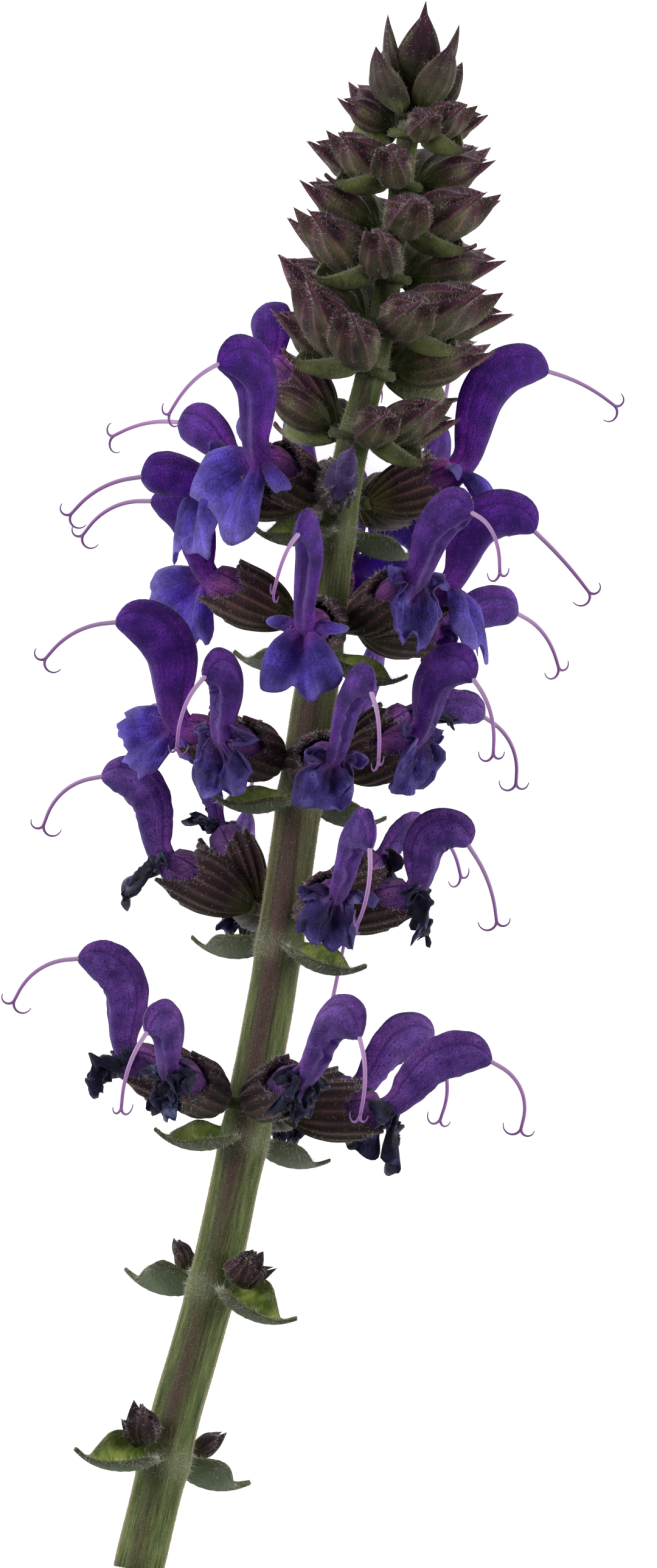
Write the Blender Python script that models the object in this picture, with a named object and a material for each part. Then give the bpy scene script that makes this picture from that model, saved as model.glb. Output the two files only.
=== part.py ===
"""A perennial salvia: one cut flowering spike, lying on a flat surface.

+Y runs up the spike, +X to its right and +Z away from the surface. The origin lies on the surface,
under the middle of the spike's box. Sizes are in millimetres until the meshes are made, in metres.
An azimuth is an angle round the stem: 0 faces away from the surface, 90 faces right. In the plane of
a flower, a heading of 0 points straight out from the stem and 90 points up along it.
"""

from collections import namedtuple

import bmesh
import bpy
import numpy as np
from mathutils import Matrix, Vector

MM = 0.001
GAP = 0.3  # between two solids that touch
BLADE = 0.65  # thickness of bracts and lips
MERGE = 0.004  # points of a joined body nearer than this are one
FLAT = 0.004  # faces that turn less than this, in radians, are one
AXIS_HEIGHT = 14.3  # the stem's middle above the surface

# The stem
STEM_ROUTE = (
    (-13.0, -53.7),
    (-10.4, -43.0),
    (-8.1, -34.9),
    (-6.2, -26.3),
    (-3.6, -12.6),
    (-2.1, -2.0),
    (-0.4, 9.5),
    (1.4, 22.0),
    (3.6, 31.2),
    (4.8, 40.0),
    (5.6, 45.3),
)
CROWN_LEAN = 0.13  # of the tip beyond the stem's end, to the right for each millimetre up
STEM_HALF_WIDTHS = (
    (-53.7, 1.56),
    (-20.0, 1.48),
    (5.0, 1.36),
    (16.0, 1.15),
    (27.0, 0.9),
    (45.3, 0.6),
)
STEM_STEP = 5.6
STEM_EDGE = 1.1  # a corner of the square stem beside the middle of its face
WHORL_HEIGHTS = (-46.7, -34.9, -24.7, -11.5, -1.5, 8.2, 16.8, 23.7, 28.2, 31.2, 34.6, 37.6, 41.0, 44.4)
CYME_AZIMUTHS = ((-50, 130), (50, -130))  # of odd and of even whorls
BARE_WHORLS = 2  # whose flowers have dropped
SEAT_RISE = (2.7, 0.4)  # from bracts up to the foot of open calyces, and to a bud whorl's

# Bracts of the leafy stem
BRACT_LENGTH = 5.6
BRACT_HALF_WIDTH = 2.0
BRACT_SPINE = 1.8
BRACT_CUPS = (1.9, 1.2)  # how far its margins stand above its midrib, in bare axils and under flowers
BRACT_HEADINGS = (-32, 28)
BRACT_ROLLS = (20, 6)  # of the front ones, likewise, which lifts the margin nearer the surface
BRACT_COLUMNS = (-1.0, -0.4, 0.4, 1.0)  # its points from margin to margin

# Calyx and corolla
CALYX_LENGTH = 4.9
PAD_HALF = 0.5  # of a cyme's foot
CALYX_MOUTH = (2.1, 1.75)  # half its depth and half its width
CALYX_WALL = 0.62
THROAT = 1.9  # how far past the calyx the corolla divides into hood and lip
FOOT_SPREAD = 0.45  # of the angle between its mouth and the middle of its cyme
CALYX_TEETH = (0.4, 0.0, 1.0, 0.0, 1.0, 0.0)  # how far each corner of the mouth stands out
TUBE = (0.9, 0.72)  # half depth and half width of the corolla inside the calyx
HOOD_DEPTH = 3.2
HOOD_WIDTH = 1.8
STYLE_RADIUS = 0.4
STYLE_LENGTH = 5.6
FORK_LENGTH = 1.7
SURFACE_CLEARANCE = 0.7  # of a style's middle above the surface

LIP_STEP = 0.45  # from the place where the hood bends away to the middle of the lip's root

# Lips: how far their points reach round the throat, by angle, and how far they cup
Lip = namedtuple("Lip", "angles reaches cup")
LIPS = {
    "fresh": Lip((-92, -66, -46, 0, 46, 66, 92), (2.2, 1.9, 4.3, 4.3, 4.3, 1.9, 2.2), 0.09),
    "cupped": Lip((-95, -46, 0, 46, 95), (1.8, 2.6, 3.5, 2.6, 1.8), 0.17),
    "withered": Lip((-95, -40, 0, 40, 95), (1.2, 2.0, 4.0, 1.6, 1.3), 0.14),
}

# A bloom: the azimuth and rise of its calyx, the headings of its hood as it lifts off and at its tip,
# the hood's length, and its lip's kind. The lip has a heading of its own, faces this far round the
# stem from the calyx, and rolls about its own way out. Bend is how far the style turns.
Bloom = namedtuple("Bloom", "whorl place azimuth rise lift drop length size lip lip_heading facing roll bend")
BLOOMS = (
    Bloom(3, "left", -82, 14, 84, -8, 8.9, 1.0, "withered", -30, 0, 0, -66),
    Bloom(3, "front_left", -36, 10, 70, -50, 6.6, 0.95, "withered", -80, 0, 0, -50),
    Bloom(3, "front_right", 34, 22, 72, -45, 8.6, 1.0, "withered", -80, 0, 0, -45),
    Bloom(3, "right", 88, 12, 60, -8, 8.9, 1.0, "withered", -45, 0, 0, -85),
    Bloom(3, "right_back", 130, 18, 66, -25, 8.2, 1.0, "withered", -60, 0, 0, -75),
    Bloom(3, "back", 168, 8, 30, 88, 8.4, 1.0, "withered", -60, 0, 0, 0),
    Bloom(4, "left", -97, 20, 74, -10, 8.4, 1.0, "withered", -30, 0, 0, -68),
    Bloom(4, "left_back", -133, 48, 60, 35, 5.4, 0.6, "withered", 10, 0, 0, 10),
    Bloom(4, "front_right", 17, 14, 72, -50, 8.8, 0.95, "cupped", -70, 0, 0, -80),
    Bloom(4, "right", 84, 22, 92, -45, 7.2, 0.95, "withered", -50, 0, 0, -30),
    Bloom(4, "right_back", 138, 40, 44, 0, 5.6, 0.7, "withered", -50, 0, 0, -60),
    Bloom(4, "back", -168, 8, 30, 88, 8.4, 1.0, "withered", -60, 0, 0, 0),
    Bloom(5, "left", -84, 12, 82, -8, 9.8, 1.2, "fresh", -20, 0, 60, -50),
    Bloom(5, "front_left", -36, 8, 88, -35, 7.4, 1.0, "cupped", -72, 0, 0, -60),
    Bloom(5, "front_right", 21, 6, 78, -30, 9.2, 0.9, "cupped", -72, 0, 0, -45),
    Bloom(5, "right", 52, 26, 84, -35, 8.4, 1.0, "cupped", -62, 0, 0, -48),
    Bloom(5, "right_back", 112, 42, 14, -15, 5.8, 0.8, "withered", 10, 0, 0, -70),
    Bloom(5, "back", 166, 26, 62, 60, 7.8, 0.9, "cupped", -40, 0, 0, 0),
    Bloom(6, "left", -102, 18, 70, 0, 7.4, 0.96, "fresh", -48, 0, 80, -60),
    Bloom(6, "front", -17, -4, 84, -20, 10.2, 0.95, "fresh", -66, 0, 0, -50),
    Bloom(6, "right_front", 40, 30, 74, -8, 8.4, 1.05, "cupped", -55, 0, 0, -68),
    Bloom(6, "right", 86, 31, 78, -35, 9.2, 1.05, "fresh", -32, -10, 0, -10),
    Bloom(6, "right_back", 128, 6, 30, -10, 7.4, 0.95, "cupped", -50, 0, 0, -50),
    Bloom(6, "back", 165, 34, 80, 70, 7.8, 0.9, "fresh", 0, 0, 0, 0),
    Bloom(7, "left", -83, -4, 2, -12, 5.4, 1.05, "fresh", -50, 14, 0, -45),
    Bloom(7, "front_left", -42, 14, 84, -25, 10.0, 1.15, "fresh", -42, -50, 60, -35),
    Bloom(7, "left_back", -124, 12, 34, 0, 6.0, 1.0, "cupped", -40, 0, 0, -30),
    Bloom(7, "right", 112, 27, 86, -4, 11.4, 1.1, "fresh", -15, -25, 0, -22),
    Bloom(7, "right_back", 157, 6, 25, 88, 9.4, 1.0, "cupped", -40, 0, 0, 0),
    Bloom(7, "back", -158, 8, 28, 88, 9.0, 1.0, "cupped", -40, 0, 0, 0),
)
# Corollas that haven't opened: a closed bud and a young hood
CLOSED_BLOOMS = (
    Bloom(7, "front", 6, 12, 50, 76, 2.6, 0.85, None, 0, 0, 0, 0),
    Bloom(8, "left_back", -122, 30, 70, 60, 4.4, 1.0, None, 0, 0, 0, 0),
)

# What is left in the axils of the two lowest whorls: azimuth, rise, length and half width of a calyx
REMNANT_RISE = 1.2  # from its bracts
Remnant = namedtuple("Remnant", "azimuth rise length half_width")
REMNANTS = {
    (1, "left"): (Remnant(-38, 52, 2.9, 1.1), Remnant(-48, 28, 2.4, 0.7)),
    (1, "right"): (Remnant(128, 40, 2.4, 0.75),),
    (2, "left"): (Remnant(-128, 44, 2.2, 0.75),),
    (2, "right"): (Remnant(36, 50, 2.8, 1.1), Remnant(48, 28, 2.6, 0.7)),
}

# The bud whorls: how far their buds reach from the stem's middle, and half a bud's depth and width
BUD_REACHES = {8: 7.2, 9: 8.1, 10: 8.3, 11: 7.6, 12: 7.3, 13: 6.6, 14: 5.5}
BUD_SPREAD = 35  # from one bud of a cyme to the next
BUD_RISE = 20
BUD_HALF = (0.2, 0.23)  # of its length
BUD_BROAD = 1.25  # the middle bud of a cyme beside the others
BUD_BRACT = 0.85  # a bud whorl's bract beside its buds' reach
BUD_BRACT_HALF = 0.36  # of the bract's length
BUD_BRACT_CUP = 1.0
BUD_BRACT_SPINE = 1.2
BUD_BRACT_HEADINGS = (-26, 30)
BUD_BRACT_COLUMNS = (-1.0, 0.0, 1.0)
COLLAR = (0.75, 1.0)  # wall and height of the ring that carries a bud whorl
COLLAR_SIDES = 6

# The crown of bracts at the tip: azimuth, height of its foot, length, rise
Scale = namedtuple("Scale", "azimuth height length rise half_width")
CROWN = (
    Scale(-50, 45.7, 5.2, 48, 1.7),
    Scale(130, 45.7, 5.2, 48, 1.7),
    Scale(40, 46.2, 5.2, 56, 1.7),
    Scale(-140, 46.2, 5.2, 56, 1.7),
    Scale(-80, 47.2, 5.4, 66, 1.4),
    Scale(100, 47.2, 5.4, 66, 1.4),
    Scale(5, 47.6, 5.2, 72, 1.4),
    Scale(185, 47.6, 5.2, 72, 1.4),
)
CROWN_TIP = 53.6


def unit(vector):
    return vector / np.linalg.norm(vector)


def stem_x(y):
    """How far right the stem's middle lies at height y, on a smooth curve through the route."""
    xs, ys = np.transpose(STEM_ROUTE)
    if y > ys[-1]:
        return xs[-1] + CROWN_LEAN * (y - ys[-1])
    slopes = np.gradient(xs, ys)
    k = int(np.clip(np.searchsorted(ys, y) - 1, 0, len(ys) - 2))
    span = ys[k + 1] - ys[k]
    t = (y - ys[k]) / span
    return (
        (2 * t**3 - 3 * t**2 + 1) * xs[k]
        + (t**3 - 2 * t**2 + t) * span * slopes[k]
        + (3 * t**2 - 2 * t**3) * xs[k + 1]
        + (t**3 - t**2) * span * slopes[k + 1]
    )


def stem_half(y):
    ys, halves = np.transpose(STEM_HALF_WIDTHS)
    return float(np.interp(y, ys, halves))


class Seat:
    """A place on the stem: its middle there, and the ways out, along and across at an azimuth."""

    def __init__(self, y, azimuth):
        slope = stem_x(y + 0.5) - stem_x(y - 0.5)
        self.middle = np.array([stem_x(y), y, AXIS_HEIGHT])
        self.along = unit(np.array([slope, 1.0, 0.0]))
        across = unit(np.array([1.0, -slope, 0.0]))
        turn = np.radians(azimuth)
        self.out = np.cos(turn) * np.array([0.0, 0.0, 1.0]) + np.sin(turn) * across
        self.side = np.cross(self.out, self.along)

    def at(self, out, along, side=0.0):
        return self.middle + out * self.out + along * self.along + side * self.side

    def way(self, heading):
        """The direction at a heading in the plane of a flower."""
        turn = np.radians(heading)
        return np.cos(turn) * self.out + np.sin(turn) * self.along


def oval(middle, up, side, half_depth, half_width, corners, lifts=None, way=None):
    """A ring of corners round a point, the first one straight up. Lifts move them along way."""
    turns = np.pi / 2 - np.arange(corners) * 2 * np.pi / corners
    ring = [middle + np.sin(a) * half_depth * up + np.cos(a) * half_width * side for a in turns]
    if lifts is not None:
        ring = [point + lift * way for point, lift in zip(ring, lifts)]
    return np.array(ring)


def frames(points, side):
    """The way, up and side at each point of a path."""
    found = []
    for way in np.gradient(np.array(points), axis=0):
        way = unit(way)
        side = unit(side - way * (side @ way))
        found.append((way, np.cross(side, way), side))
    return found


def skin(rings):
    """A closed shape over rings of corners. A ring of one point is a tip."""
    points, faces, starts = [], [], []
    for ring in rings:
        starts.append(len(points))
        points += list(ring)
    for a, b, low, high in zip(starts, starts[1:], rings, rings[1:]):
        count = max(len(low), len(high))
        for k in range(count):
            j = (k + 1) % count
            if len(low) == 1:
                faces.append((a, b + k, b + j))
            elif len(high) == 1:
                faces.append((a + j, a + k, b))
            else:
                faces += [(a + k, a + j, b + j), (a + k, b + j, b + k)]
    for start, ring in ((starts[0], rings[0]), (starts[-1], rings[-1])):
        if len(ring) > 1:
            faces.append(tuple(range(start, start + len(ring))))
    return points, faces


def tapered(points, side, halves, corners, tip=False):
    """A closed round or oval body along a path, with half its depth and width at each point."""
    rings = []
    for point, (_, up, across), (deep, wide) in zip(points, frames(points, side), halves):
        rings.append(oval(point, up, across, deep, wide, corners))
    if tip:
        rings[-1] = np.array([points[-1]])
    return skin(rings)


def blade(grid, ups=None):
    """A closed sheet along a grid of points, split into triangles alike on both faces.

    It is thick along its own normals, or along one direction for each row where ups are given,
    as far as each is long.
    """
    grid = np.array(grid)
    if ups is None:
        down, across = np.gradient(grid, axis=0), np.gradient(grid, axis=1)
        normals = np.cross(down, across)
        normals /= np.linalg.norm(normals, axis=2, keepdims=True)
    else:
        normals = np.array(ups)[:, None, :]
    rows, columns = grid.shape[:2]
    half = normals * BLADE / 2
    points = list((grid + half).reshape(-1, 3)) + list((grid - half).reshape(-1, 3))
    under = rows * columns
    faces = []
    for i in range(rows - 1):
        for j in range(columns - 1):
            a, b = i * columns + j, i * columns + j + 1
            c, d = b + columns, a + columns
            faces += [(a, b, c), (a, c, d)]
            faces += [(c + under, b + under, a + under), (d + under, c + under, a + under)]
    rim = [j for j in range(columns)]
    rim += [i * columns + columns - 1 for i in range(1, rows)]
    rim += [(rows - 1) * columns + j for j in range(columns - 2, -1, -1)]
    rim += [i * columns for i in range(rows - 2, 0, -1)]
    for a, b in zip(rim, rim[1:] + rim[:1]):
        faces += [(b, a, a + under), (b, a + under, b + under)]
    return points, faces


def bend_path(seat, start, headings, length):
    """Points of equal steps from a start in a flower's plane, turning through the headings."""
    step = length / len(headings)
    path = [np.array(start)]
    for heading in headings:
        path.append(path[-1] + step * seat.way(heading))
    return path


def keep_off_surface(path, clearance):
    """The same steps, laid along the surface where they would pass into it."""
    kept = [path[0]]
    for a, b in zip(path, path[1:]):
        step = b - a
        length = np.linalg.norm(step)
        if kept[-1][2] + step[2] < clearance:
            step = np.array([step[0], step[1], clearance - kept[-1][2]])
            flat = np.hypot(step[0], step[1])
            if flat < 0.3 * length:
                step[0] += length
            step = unit(step) * length
        kept.append(kept[-1] + step)
    return kept


def stem_shape():
    """The square stem, with its edges standing a little out from its hollowed faces."""
    low, high = STEM_ROUTE[0][1], STEM_ROUTE[-1][1]
    count = round((high - low) / STEM_STEP)
    rings = []
    for y in np.linspace(low, high, count + 1):
        half = stem_half(y)
        ring = []
        for k in range(8):
            seat = Seat(y, 45 * k)
            ring.append(seat.at(half * (STEM_EDGE if k % 2 == 0 else 0.95), 0.0))
        rings.append(np.array(ring))
    return skin(rings)


def boat(seat, start, headings, length, half_width, cup, spine, columns, roll=0.0):
    """A boat-shaped bract: a blade with raised margins that narrows to a spiny tip.

    A roll, in degrees, lifts the margin that is nearer the surface.
    """
    turn = np.radians(roll) * np.sign(seat.side[2])
    side = np.cos(turn) * seat.side - np.sin(turn) * seat.along
    whole = length + spine
    stations = np.array([0.0, 0.25 * length, 0.6 * length, 0.88 * length, whole]) / whole
    widths = np.array([0.45, 0.95, 0.95, 0.42, 0.12]) * half_width
    fine = np.linspace(headings[0], headings[1], 8)
    path = bend_path(seat, seat.at(*start), fine, whole)
    spread = np.linspace(0, 1, len(path))
    grid, ups = [], []
    for station, wide in zip(stations, widths):
        middle = np.array([np.interp(station, spread, [p[k] for p in path]) for k in range(3)])
        way = seat.way(np.interp(station, (0, 1), headings))
        up = unit(np.cross(side, way))
        row = []
        for across in columns:
            lift = cup * abs(across) ** 1.6 * wide / half_width
            row.append(middle + across * wide * side + lift * up)
        grid.append(row)
        ups.append(up * np.hypot(1.0, cup / half_width))
    return blade(grid, ups)


def calyx_height(whorl):
    """Where a whorl's calyces spring from the stem."""
    return WHORL_HEIGHTS[whorl - 1] + SEAT_RISE[whorl in BUD_REACHES]


def calyx_root(bloom):
    """The seat in the flower's plane, and the foot and the way of its calyx."""
    y = calyx_height(bloom.whorl)
    seat = Seat(y, bloom.azimuth)
    foot = Seat(y, foot_azimuth(bloom)).at(stem_half(y) * STEM_EDGE + GAP + PAD_HALF, 0.0)
    return seat, foot, seat.way(bloom.rise)


def foot_azimuth(bloom):
    """Where a calyx springs from, nearer the middle of its cyme than its mouth is."""
    cyme = cyme_of(bloom)
    spread = (bloom.azimuth - cyme + 180) % 360 - 180
    return cyme + FOOT_SPREAD * spread


def pad_shape(whorl, azimuths):
    """The thickened foot of a cyme: a bar bent round the stem, where its calyces spring from."""
    y = calyx_height(whorl)
    out = stem_half(y) * STEM_EDGE + GAP + PAD_HALF
    low, high = min(azimuths) - 8, max(azimuths) + 8
    path = [Seat(y, azimuth).at(out, 0.0) for azimuth in np.linspace(low, high, 4)]
    return tapered(path, Seat(y, 0).along, [(PAD_HALF, PAD_HALF)] * 4, 4)


def cyme_of(bloom):
    """The azimuth of the nearer of its whorl's two cymes."""
    sides = CYME_AZIMUTHS[(bloom.whorl + 1) % 2]
    return min(sides, key=lambda side: abs((bloom.azimuth - side + 180) % 360 - 180))


def calyx_shape(bloom):
    """A two-lipped bell with a hollow mouth, where the corolla's foot sits."""
    seat, foot, way = calyx_root(bloom)
    up, side = np.cross(seat.side, way), seat.side
    deep, wide = np.array(CALYX_MOUTH) * (0.8 + 0.2 * bloom.size)
    stations = ((0.2, 0.5), (0.6, 0.9), (1.0, 1.0))
    rings = [np.array([foot])]
    for station, share in stations:
        lifts = CALYX_TEETH if station == 1.0 else None
        middle = foot + station * CALYX_LENGTH * way
        rings.append(oval(middle, up, side, deep * share, wide * share, 6, lifts, way))
    mouth, floor = foot + CALYX_LENGTH * way, foot + 0.5 * CALYX_LENGTH * way
    inner = (deep - CALYX_WALL, wide - CALYX_WALL)
    rings.append(oval(mouth, up, side, *inner, 6, CALYX_TEETH, way))
    rings.append(oval(floor, up, side, inner[0] * 0.85, inner[1] * 0.9, 6))
    return skin(rings)


def corolla_path(bloom):
    """The middle of the corolla from its foot in the calyx to the hood's tip."""
    seat, foot, way = calyx_root(bloom)
    start = foot + (0.5 * CALYX_LENGTH + GAP) * way
    mouth = foot + (CALYX_LENGTH + THROAT) * way
    headings = np.interp(np.linspace(0, 1, 8), (0, 0.4, 1), (bloom.lift, bloom.lift, bloom.drop))
    headings[0] = (bloom.rise + bloom.lift) / 2
    return seat, [start, mouth] + bend_path(seat, mouth, headings, bloom.length)[1:]


def hood_shape(bloom, seat, path):
    """The corolla's tube and its hood, a keeled sickle that is deepest past its middle."""
    picks = (0, 1, 3, 5, 7, 9)
    shares = ((0, 0), (0, 0), (0.68, 0.95), (0.97, 1.0), (0.95, 0.85), (0.38, 0.45))
    halves = [(HOOD_DEPTH / 2 * bloom.size * d, HOOD_WIDTH / 2 * bloom.size * w) for d, w in shares]
    halves[0] = halves[1] = TUBE
    return tapered([path[k] for k in picks], seat.side, halves, 6)


def lip_shape(bloom, seat, path):
    """A three-lobed lip spread from the throat."""
    lip = LIPS[bloom.lip]
    faced = Seat(seat.middle[1], bloom.azimuth + bloom.facing)
    out, turn = faced.way(bloom.lip_heading), np.radians(bloom.roll)
    side = np.cos(turn) * faced.side + np.sin(turn) * np.cross(faced.side, out)
    up = np.cross(side, out)
    root = path[1] + LIP_STEP * unit(path[1] - path[0]) - 0.2 * out
    grid = []
    for share in (0.12, 0.6, 1.0):
        row = []
        for angle, reach in zip(lip.angles, lip.reaches):
            a, r = np.radians(angle), reach * share * bloom.size + 0.35
            droop = lip.cup * r * r * (1.0 if abs(angle) > 40 else 0.7)
            row.append(root + r * (np.cos(a) * out + np.sin(a) * side) - droop * up)
        grid.append(row)
    return blade(grid)


def style_shapes(bloom, seat, path):
    """The long style from inside the hood's tip, with its two curled branches."""
    way = unit(path[-1] - path[-2])
    headings = bloom.drop + bloom.bend * np.linspace(0.12, 1, 4)
    line = [path[-1] - 1.2 * way] + bend_path(seat, path[-1], headings, STYLE_LENGTH)
    line = keep_off_surface(line, SURFACE_CLEARANCE)
    last = unit(line[-1] - line[-2])
    up = unit(np.cross(seat.side, last))
    branches = []
    for turn in (1, -1):
        branch = [line[-1]]
        for angle in (35, 80):
            a = np.radians(angle * turn)
            branch.append(branch[-1] + FORK_LENGTH / 2 * (np.cos(a) * last + np.sin(a) * up))
        branches.append(keep_off_surface(branch, SURFACE_CLEARANCE)[1:])
    whole = line + branches[0]
    other = [line[-1] - 0.4 * last] + branches[1]
    halves = [(STYLE_RADIUS, STYLE_RADIUS)] * len(whole)
    thin = [(0.2, 0.2), (0.36, 0.36), (0.36, 0.36)]
    return [tapered(whole, seat.side, halves, 3), tapered(other, seat.side, thin, 3)]


def bud_shape(seat, foot, rise, length, half_depth, half_width):
    """A closed calyx: a pointed drop whose tip turns up."""
    way = seat.way(rise)
    up = np.cross(seat.side, way)
    stations = ((0.3, 0.88), (0.74, 0.93))
    rings = [np.array([foot])]
    for station, share in stations:
        middle = foot + station * length * way
        rings.append(oval(middle, up, seat.side, half_depth * share, half_width * share, 6))
    rings.append(np.array([foot + length * way + 0.12 * length * up]))
    return skin(rings)


def collar_shape(y):
    """The ring at a node, round the stem and clear of it."""
    wall, height = COLLAR
    inner = (stem_half(y) * STEM_EDGE + GAP) / np.cos(np.pi / COLLAR_SIDES)
    rings = []
    for radius, rise in ((inner, 0), (inner + wall, 0), (inner + wall, height), (inner, height), (inner, 0)):
        seats = [Seat(y, 360 / COLLAR_SIDES * k) for k in range(COLLAR_SIDES)]
        rings.append(np.array([seat.at(radius, rise - height / 2) for seat in seats]))
    points, faces = skin(rings)
    faces = [face for face in faces if len(face) == 3]
    kept = len(points) - COLLAR_SIDES
    faces = [tuple(k - kept if k >= kept else k for k in face) for face in faces]
    return points[:kept], faces


def bud_whorl_shapes(whorl):
    """Two cymes of three buds over their bracts, on a collar round the stem."""
    y, reach = WHORL_HEIGHTS[whorl - 1], BUD_REACHES[whorl]
    root = stem_half(y) * STEM_EDGE + GAP + 0.4
    shapes = [collar_shape(y)]
    for cyme in CYME_AZIMUTHS[(whorl + 1) % 2]:
        for k in (-1, 0, 1):
            seat = Seat(y, cyme + k * BUD_SPREAD)
            opened = [b for b in CLOSED_BLOOMS if b.whorl == whorl and cyme_of(b) == cyme]
            if k == 0 and opened:
                shapes.append(calyx_shape(opened[0]))
                continue
            length = (reach - root) * (1.0 if k == 0 else 0.88)
            deep, wide = length * BUD_HALF[0] + 0.35, length * BUD_HALF[1] + 0.35
            rise = BUD_RISE
            if k == 0:
                rise += 8
                wide *= BUD_BROAD
            shapes.append(bud_shape(seat, seat.at(root, 0.35), rise, length, deep, wide))
        seat = Seat(y, cyme)
        long = (reach - root) * BUD_BRACT
        sizes = (long, long * BUD_BRACT_HALF, BUD_BRACT_CUP, BUD_BRACT_SPINE)
        shapes.append(boat(seat, (root, -0.4), BUD_BRACT_HEADINGS, *sizes, BUD_BRACT_COLUMNS))
    return shapes


def crown_shapes():
    """The tip's overlapping pointed bracts round a small core."""
    shapes = []
    base = Seat(45.6, 0)
    top = np.array([stem_x(CROWN_TIP), CROWN_TIP, AXIS_HEIGHT])
    core = [base.at(0, k) for k in (0.0, 2.0, 4.5)] + [top]
    halves = ((1.15, 1.15), (1.3, 1.3), (0.9, 0.9), (0, 0))
    shapes.append(tapered(core, base.side, halves, 6, tip=True))
    for scale in CROWN:
        seat = Seat(scale.height, scale.azimuth)
        foot = seat.at(0.9, 0.0)
        shapes.append(bud_shape(seat, foot, scale.rise, scale.length, 0.5, scale.half_width))
    return shapes


def remnant_shapes(whorl, pieces):
    """Shrivelled calyces that stay in an axil."""
    y = WHORL_HEIGHTS[whorl - 1] + REMNANT_RISE
    shapes = []
    for piece in pieces:
        seat = Seat(y, piece.azimuth)
        foot = seat.at(stem_half(y) * STEM_EDGE + GAP + 0.3, 0.0)
        shapes.append(bud_shape(seat, foot, piece.rise, piece.length, piece.half_width, piece.half_width))
    return shapes


def mesh_object(name, shape):
    """An object of one closed shape, still in millimetres."""
    points, faces = shape
    mesh = bpy.data.meshes.new(name)
    mesh.from_pydata([tuple(p) for p in points], [], faces)
    cleaned = bmesh.new()
    cleaned.from_mesh(mesh)
    bmesh.ops.triangulate(cleaned, faces=cleaned.faces)
    bmesh.ops.recalc_face_normals(cleaned, faces=cleaned.faces)
    cleaned.to_mesh(mesh)
    cleaned.free()
    return bpy.data.objects.new(name, mesh)


def drop_scraps(shape):
    """Keeps the largest of the bodies that don't touch."""
    left, bodies = set(shape.verts), []
    while left:
        body, edge = set(), [left.pop()]
        while edge:
            vertex = edge.pop()
            body.add(vertex)
            for link in vertex.link_edges:
                other = link.other_vert(vertex)
                if other in left:
                    left.discard(other)
                    edge.append(other)
        bodies.append(body)
    bodies.sort(key=len, reverse=True)
    for body in bodies[1:]:
        bmesh.ops.delete(shape, geom=list(body), context="VERTS")


def drop_fins(shape):
    """Removes each pair of faces on the same three points, which holds nothing between them."""
    seen = {}
    for face in shape.faces:
        seen.setdefault(frozenset(vertex.index for vertex in face.verts), []).append(face)
    fins = [face for group in seen.values() if len(group) > 1 for face in group]
    bmesh.ops.delete(shape, geom=fins, context="FACES_ONLY")
    loose = [edge for edge in shape.edges if not edge.link_faces]
    bmesh.ops.delete(shape, geom=loose, context="EDGES")


def rest_on_surface(shape):
    """Cuts off what reaches under the surface, which leaves a small flat spot to rest on."""
    if min(vertex.co.z for vertex in shape.verts) >= 0:
        return
    everything = shape.verts[:] + shape.edges[:] + shape.faces[:]
    cut = bmesh.ops.bisect_plane(
        shape, geom=everything, dist=1e-4, plane_co=(0, 0, 0), plane_no=(0, 0, -1), clear_outer=True
    )
    rim = [part for part in cut["geom_cut"] if isinstance(part, bmesh.types.BMEdge)]
    bmesh.ops.contextual_create(shape, geom=rim)


def fused(name, shapes, material):
    """One node: the union of its shapes."""
    body = mesh_object(name, shapes[0])
    bpy.context.scene.collection.objects.link(body)
    if len(shapes) > 1:
        others = bpy.data.collections.new(name + "_repeats")
        bpy.context.scene.collection.children.link(others)
        for k, shape in enumerate(shapes[1:]):
            others.objects.link(mesh_object(f"{name}_repeat_{k}", shape))
        union = body.modifiers.new("union", "BOOLEAN")
        union.operation = "UNION"
        union.operand_type = "COLLECTION"
        union.collection = others
        joined = bpy.data.meshes.new_from_object(body.evaluated_get(bpy.context.evaluated_depsgraph_get()))
        body.modifiers.clear()
        body.data = joined
        for other in list(others.objects):
            bpy.data.objects.remove(other)
        bpy.data.collections.remove(others)
    shape = bmesh.new()
    shape.from_mesh(body.data)
    bmesh.ops.remove_doubles(shape, verts=shape.verts, dist=MERGE)
    bmesh.ops.dissolve_degenerate(shape, dist=MERGE, edges=shape.edges)
    bmesh.ops.dissolve_limit(shape, angle_limit=FLAT, verts=shape.verts, edges=shape.edges)
    drop_scraps(shape)
    rest_on_surface(shape)
    bmesh.ops.triangulate(shape, faces=shape.faces)
    drop_fins(shape)
    bmesh.ops.scale(shape, vec=(MM, MM, MM), verts=shape.verts)
    shape.to_mesh(body.data)
    shape.free()
    body.data.materials.clear()
    body.data.materials.append(material)
    return body


def finish(name, colour, roughness):
    material = bpy.data.materials.new(name)
    material.use_nodes = True
    surface = material.node_tree.nodes["Principled BSDF"]
    surface.inputs["Base Color"].default_value = (*colour, 1.0)
    surface.inputs["Roughness"].default_value = roughness
    surface.inputs["Metallic"].default_value = 0.0
    return material


def centre(bodies):
    """Moves every body so that the origin lies under the middle of their common box."""
    corners = np.array([body.matrix_world @ Vector(c) for body in bodies for c in body.bound_box])
    middle = (corners.min(axis=0) + corners.max(axis=0)) / 2
    for body in bodies:
        body.data.transform(Matrix.Translation((-middle[0], -middle[1], 0.0)))
        body.data.update()


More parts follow.
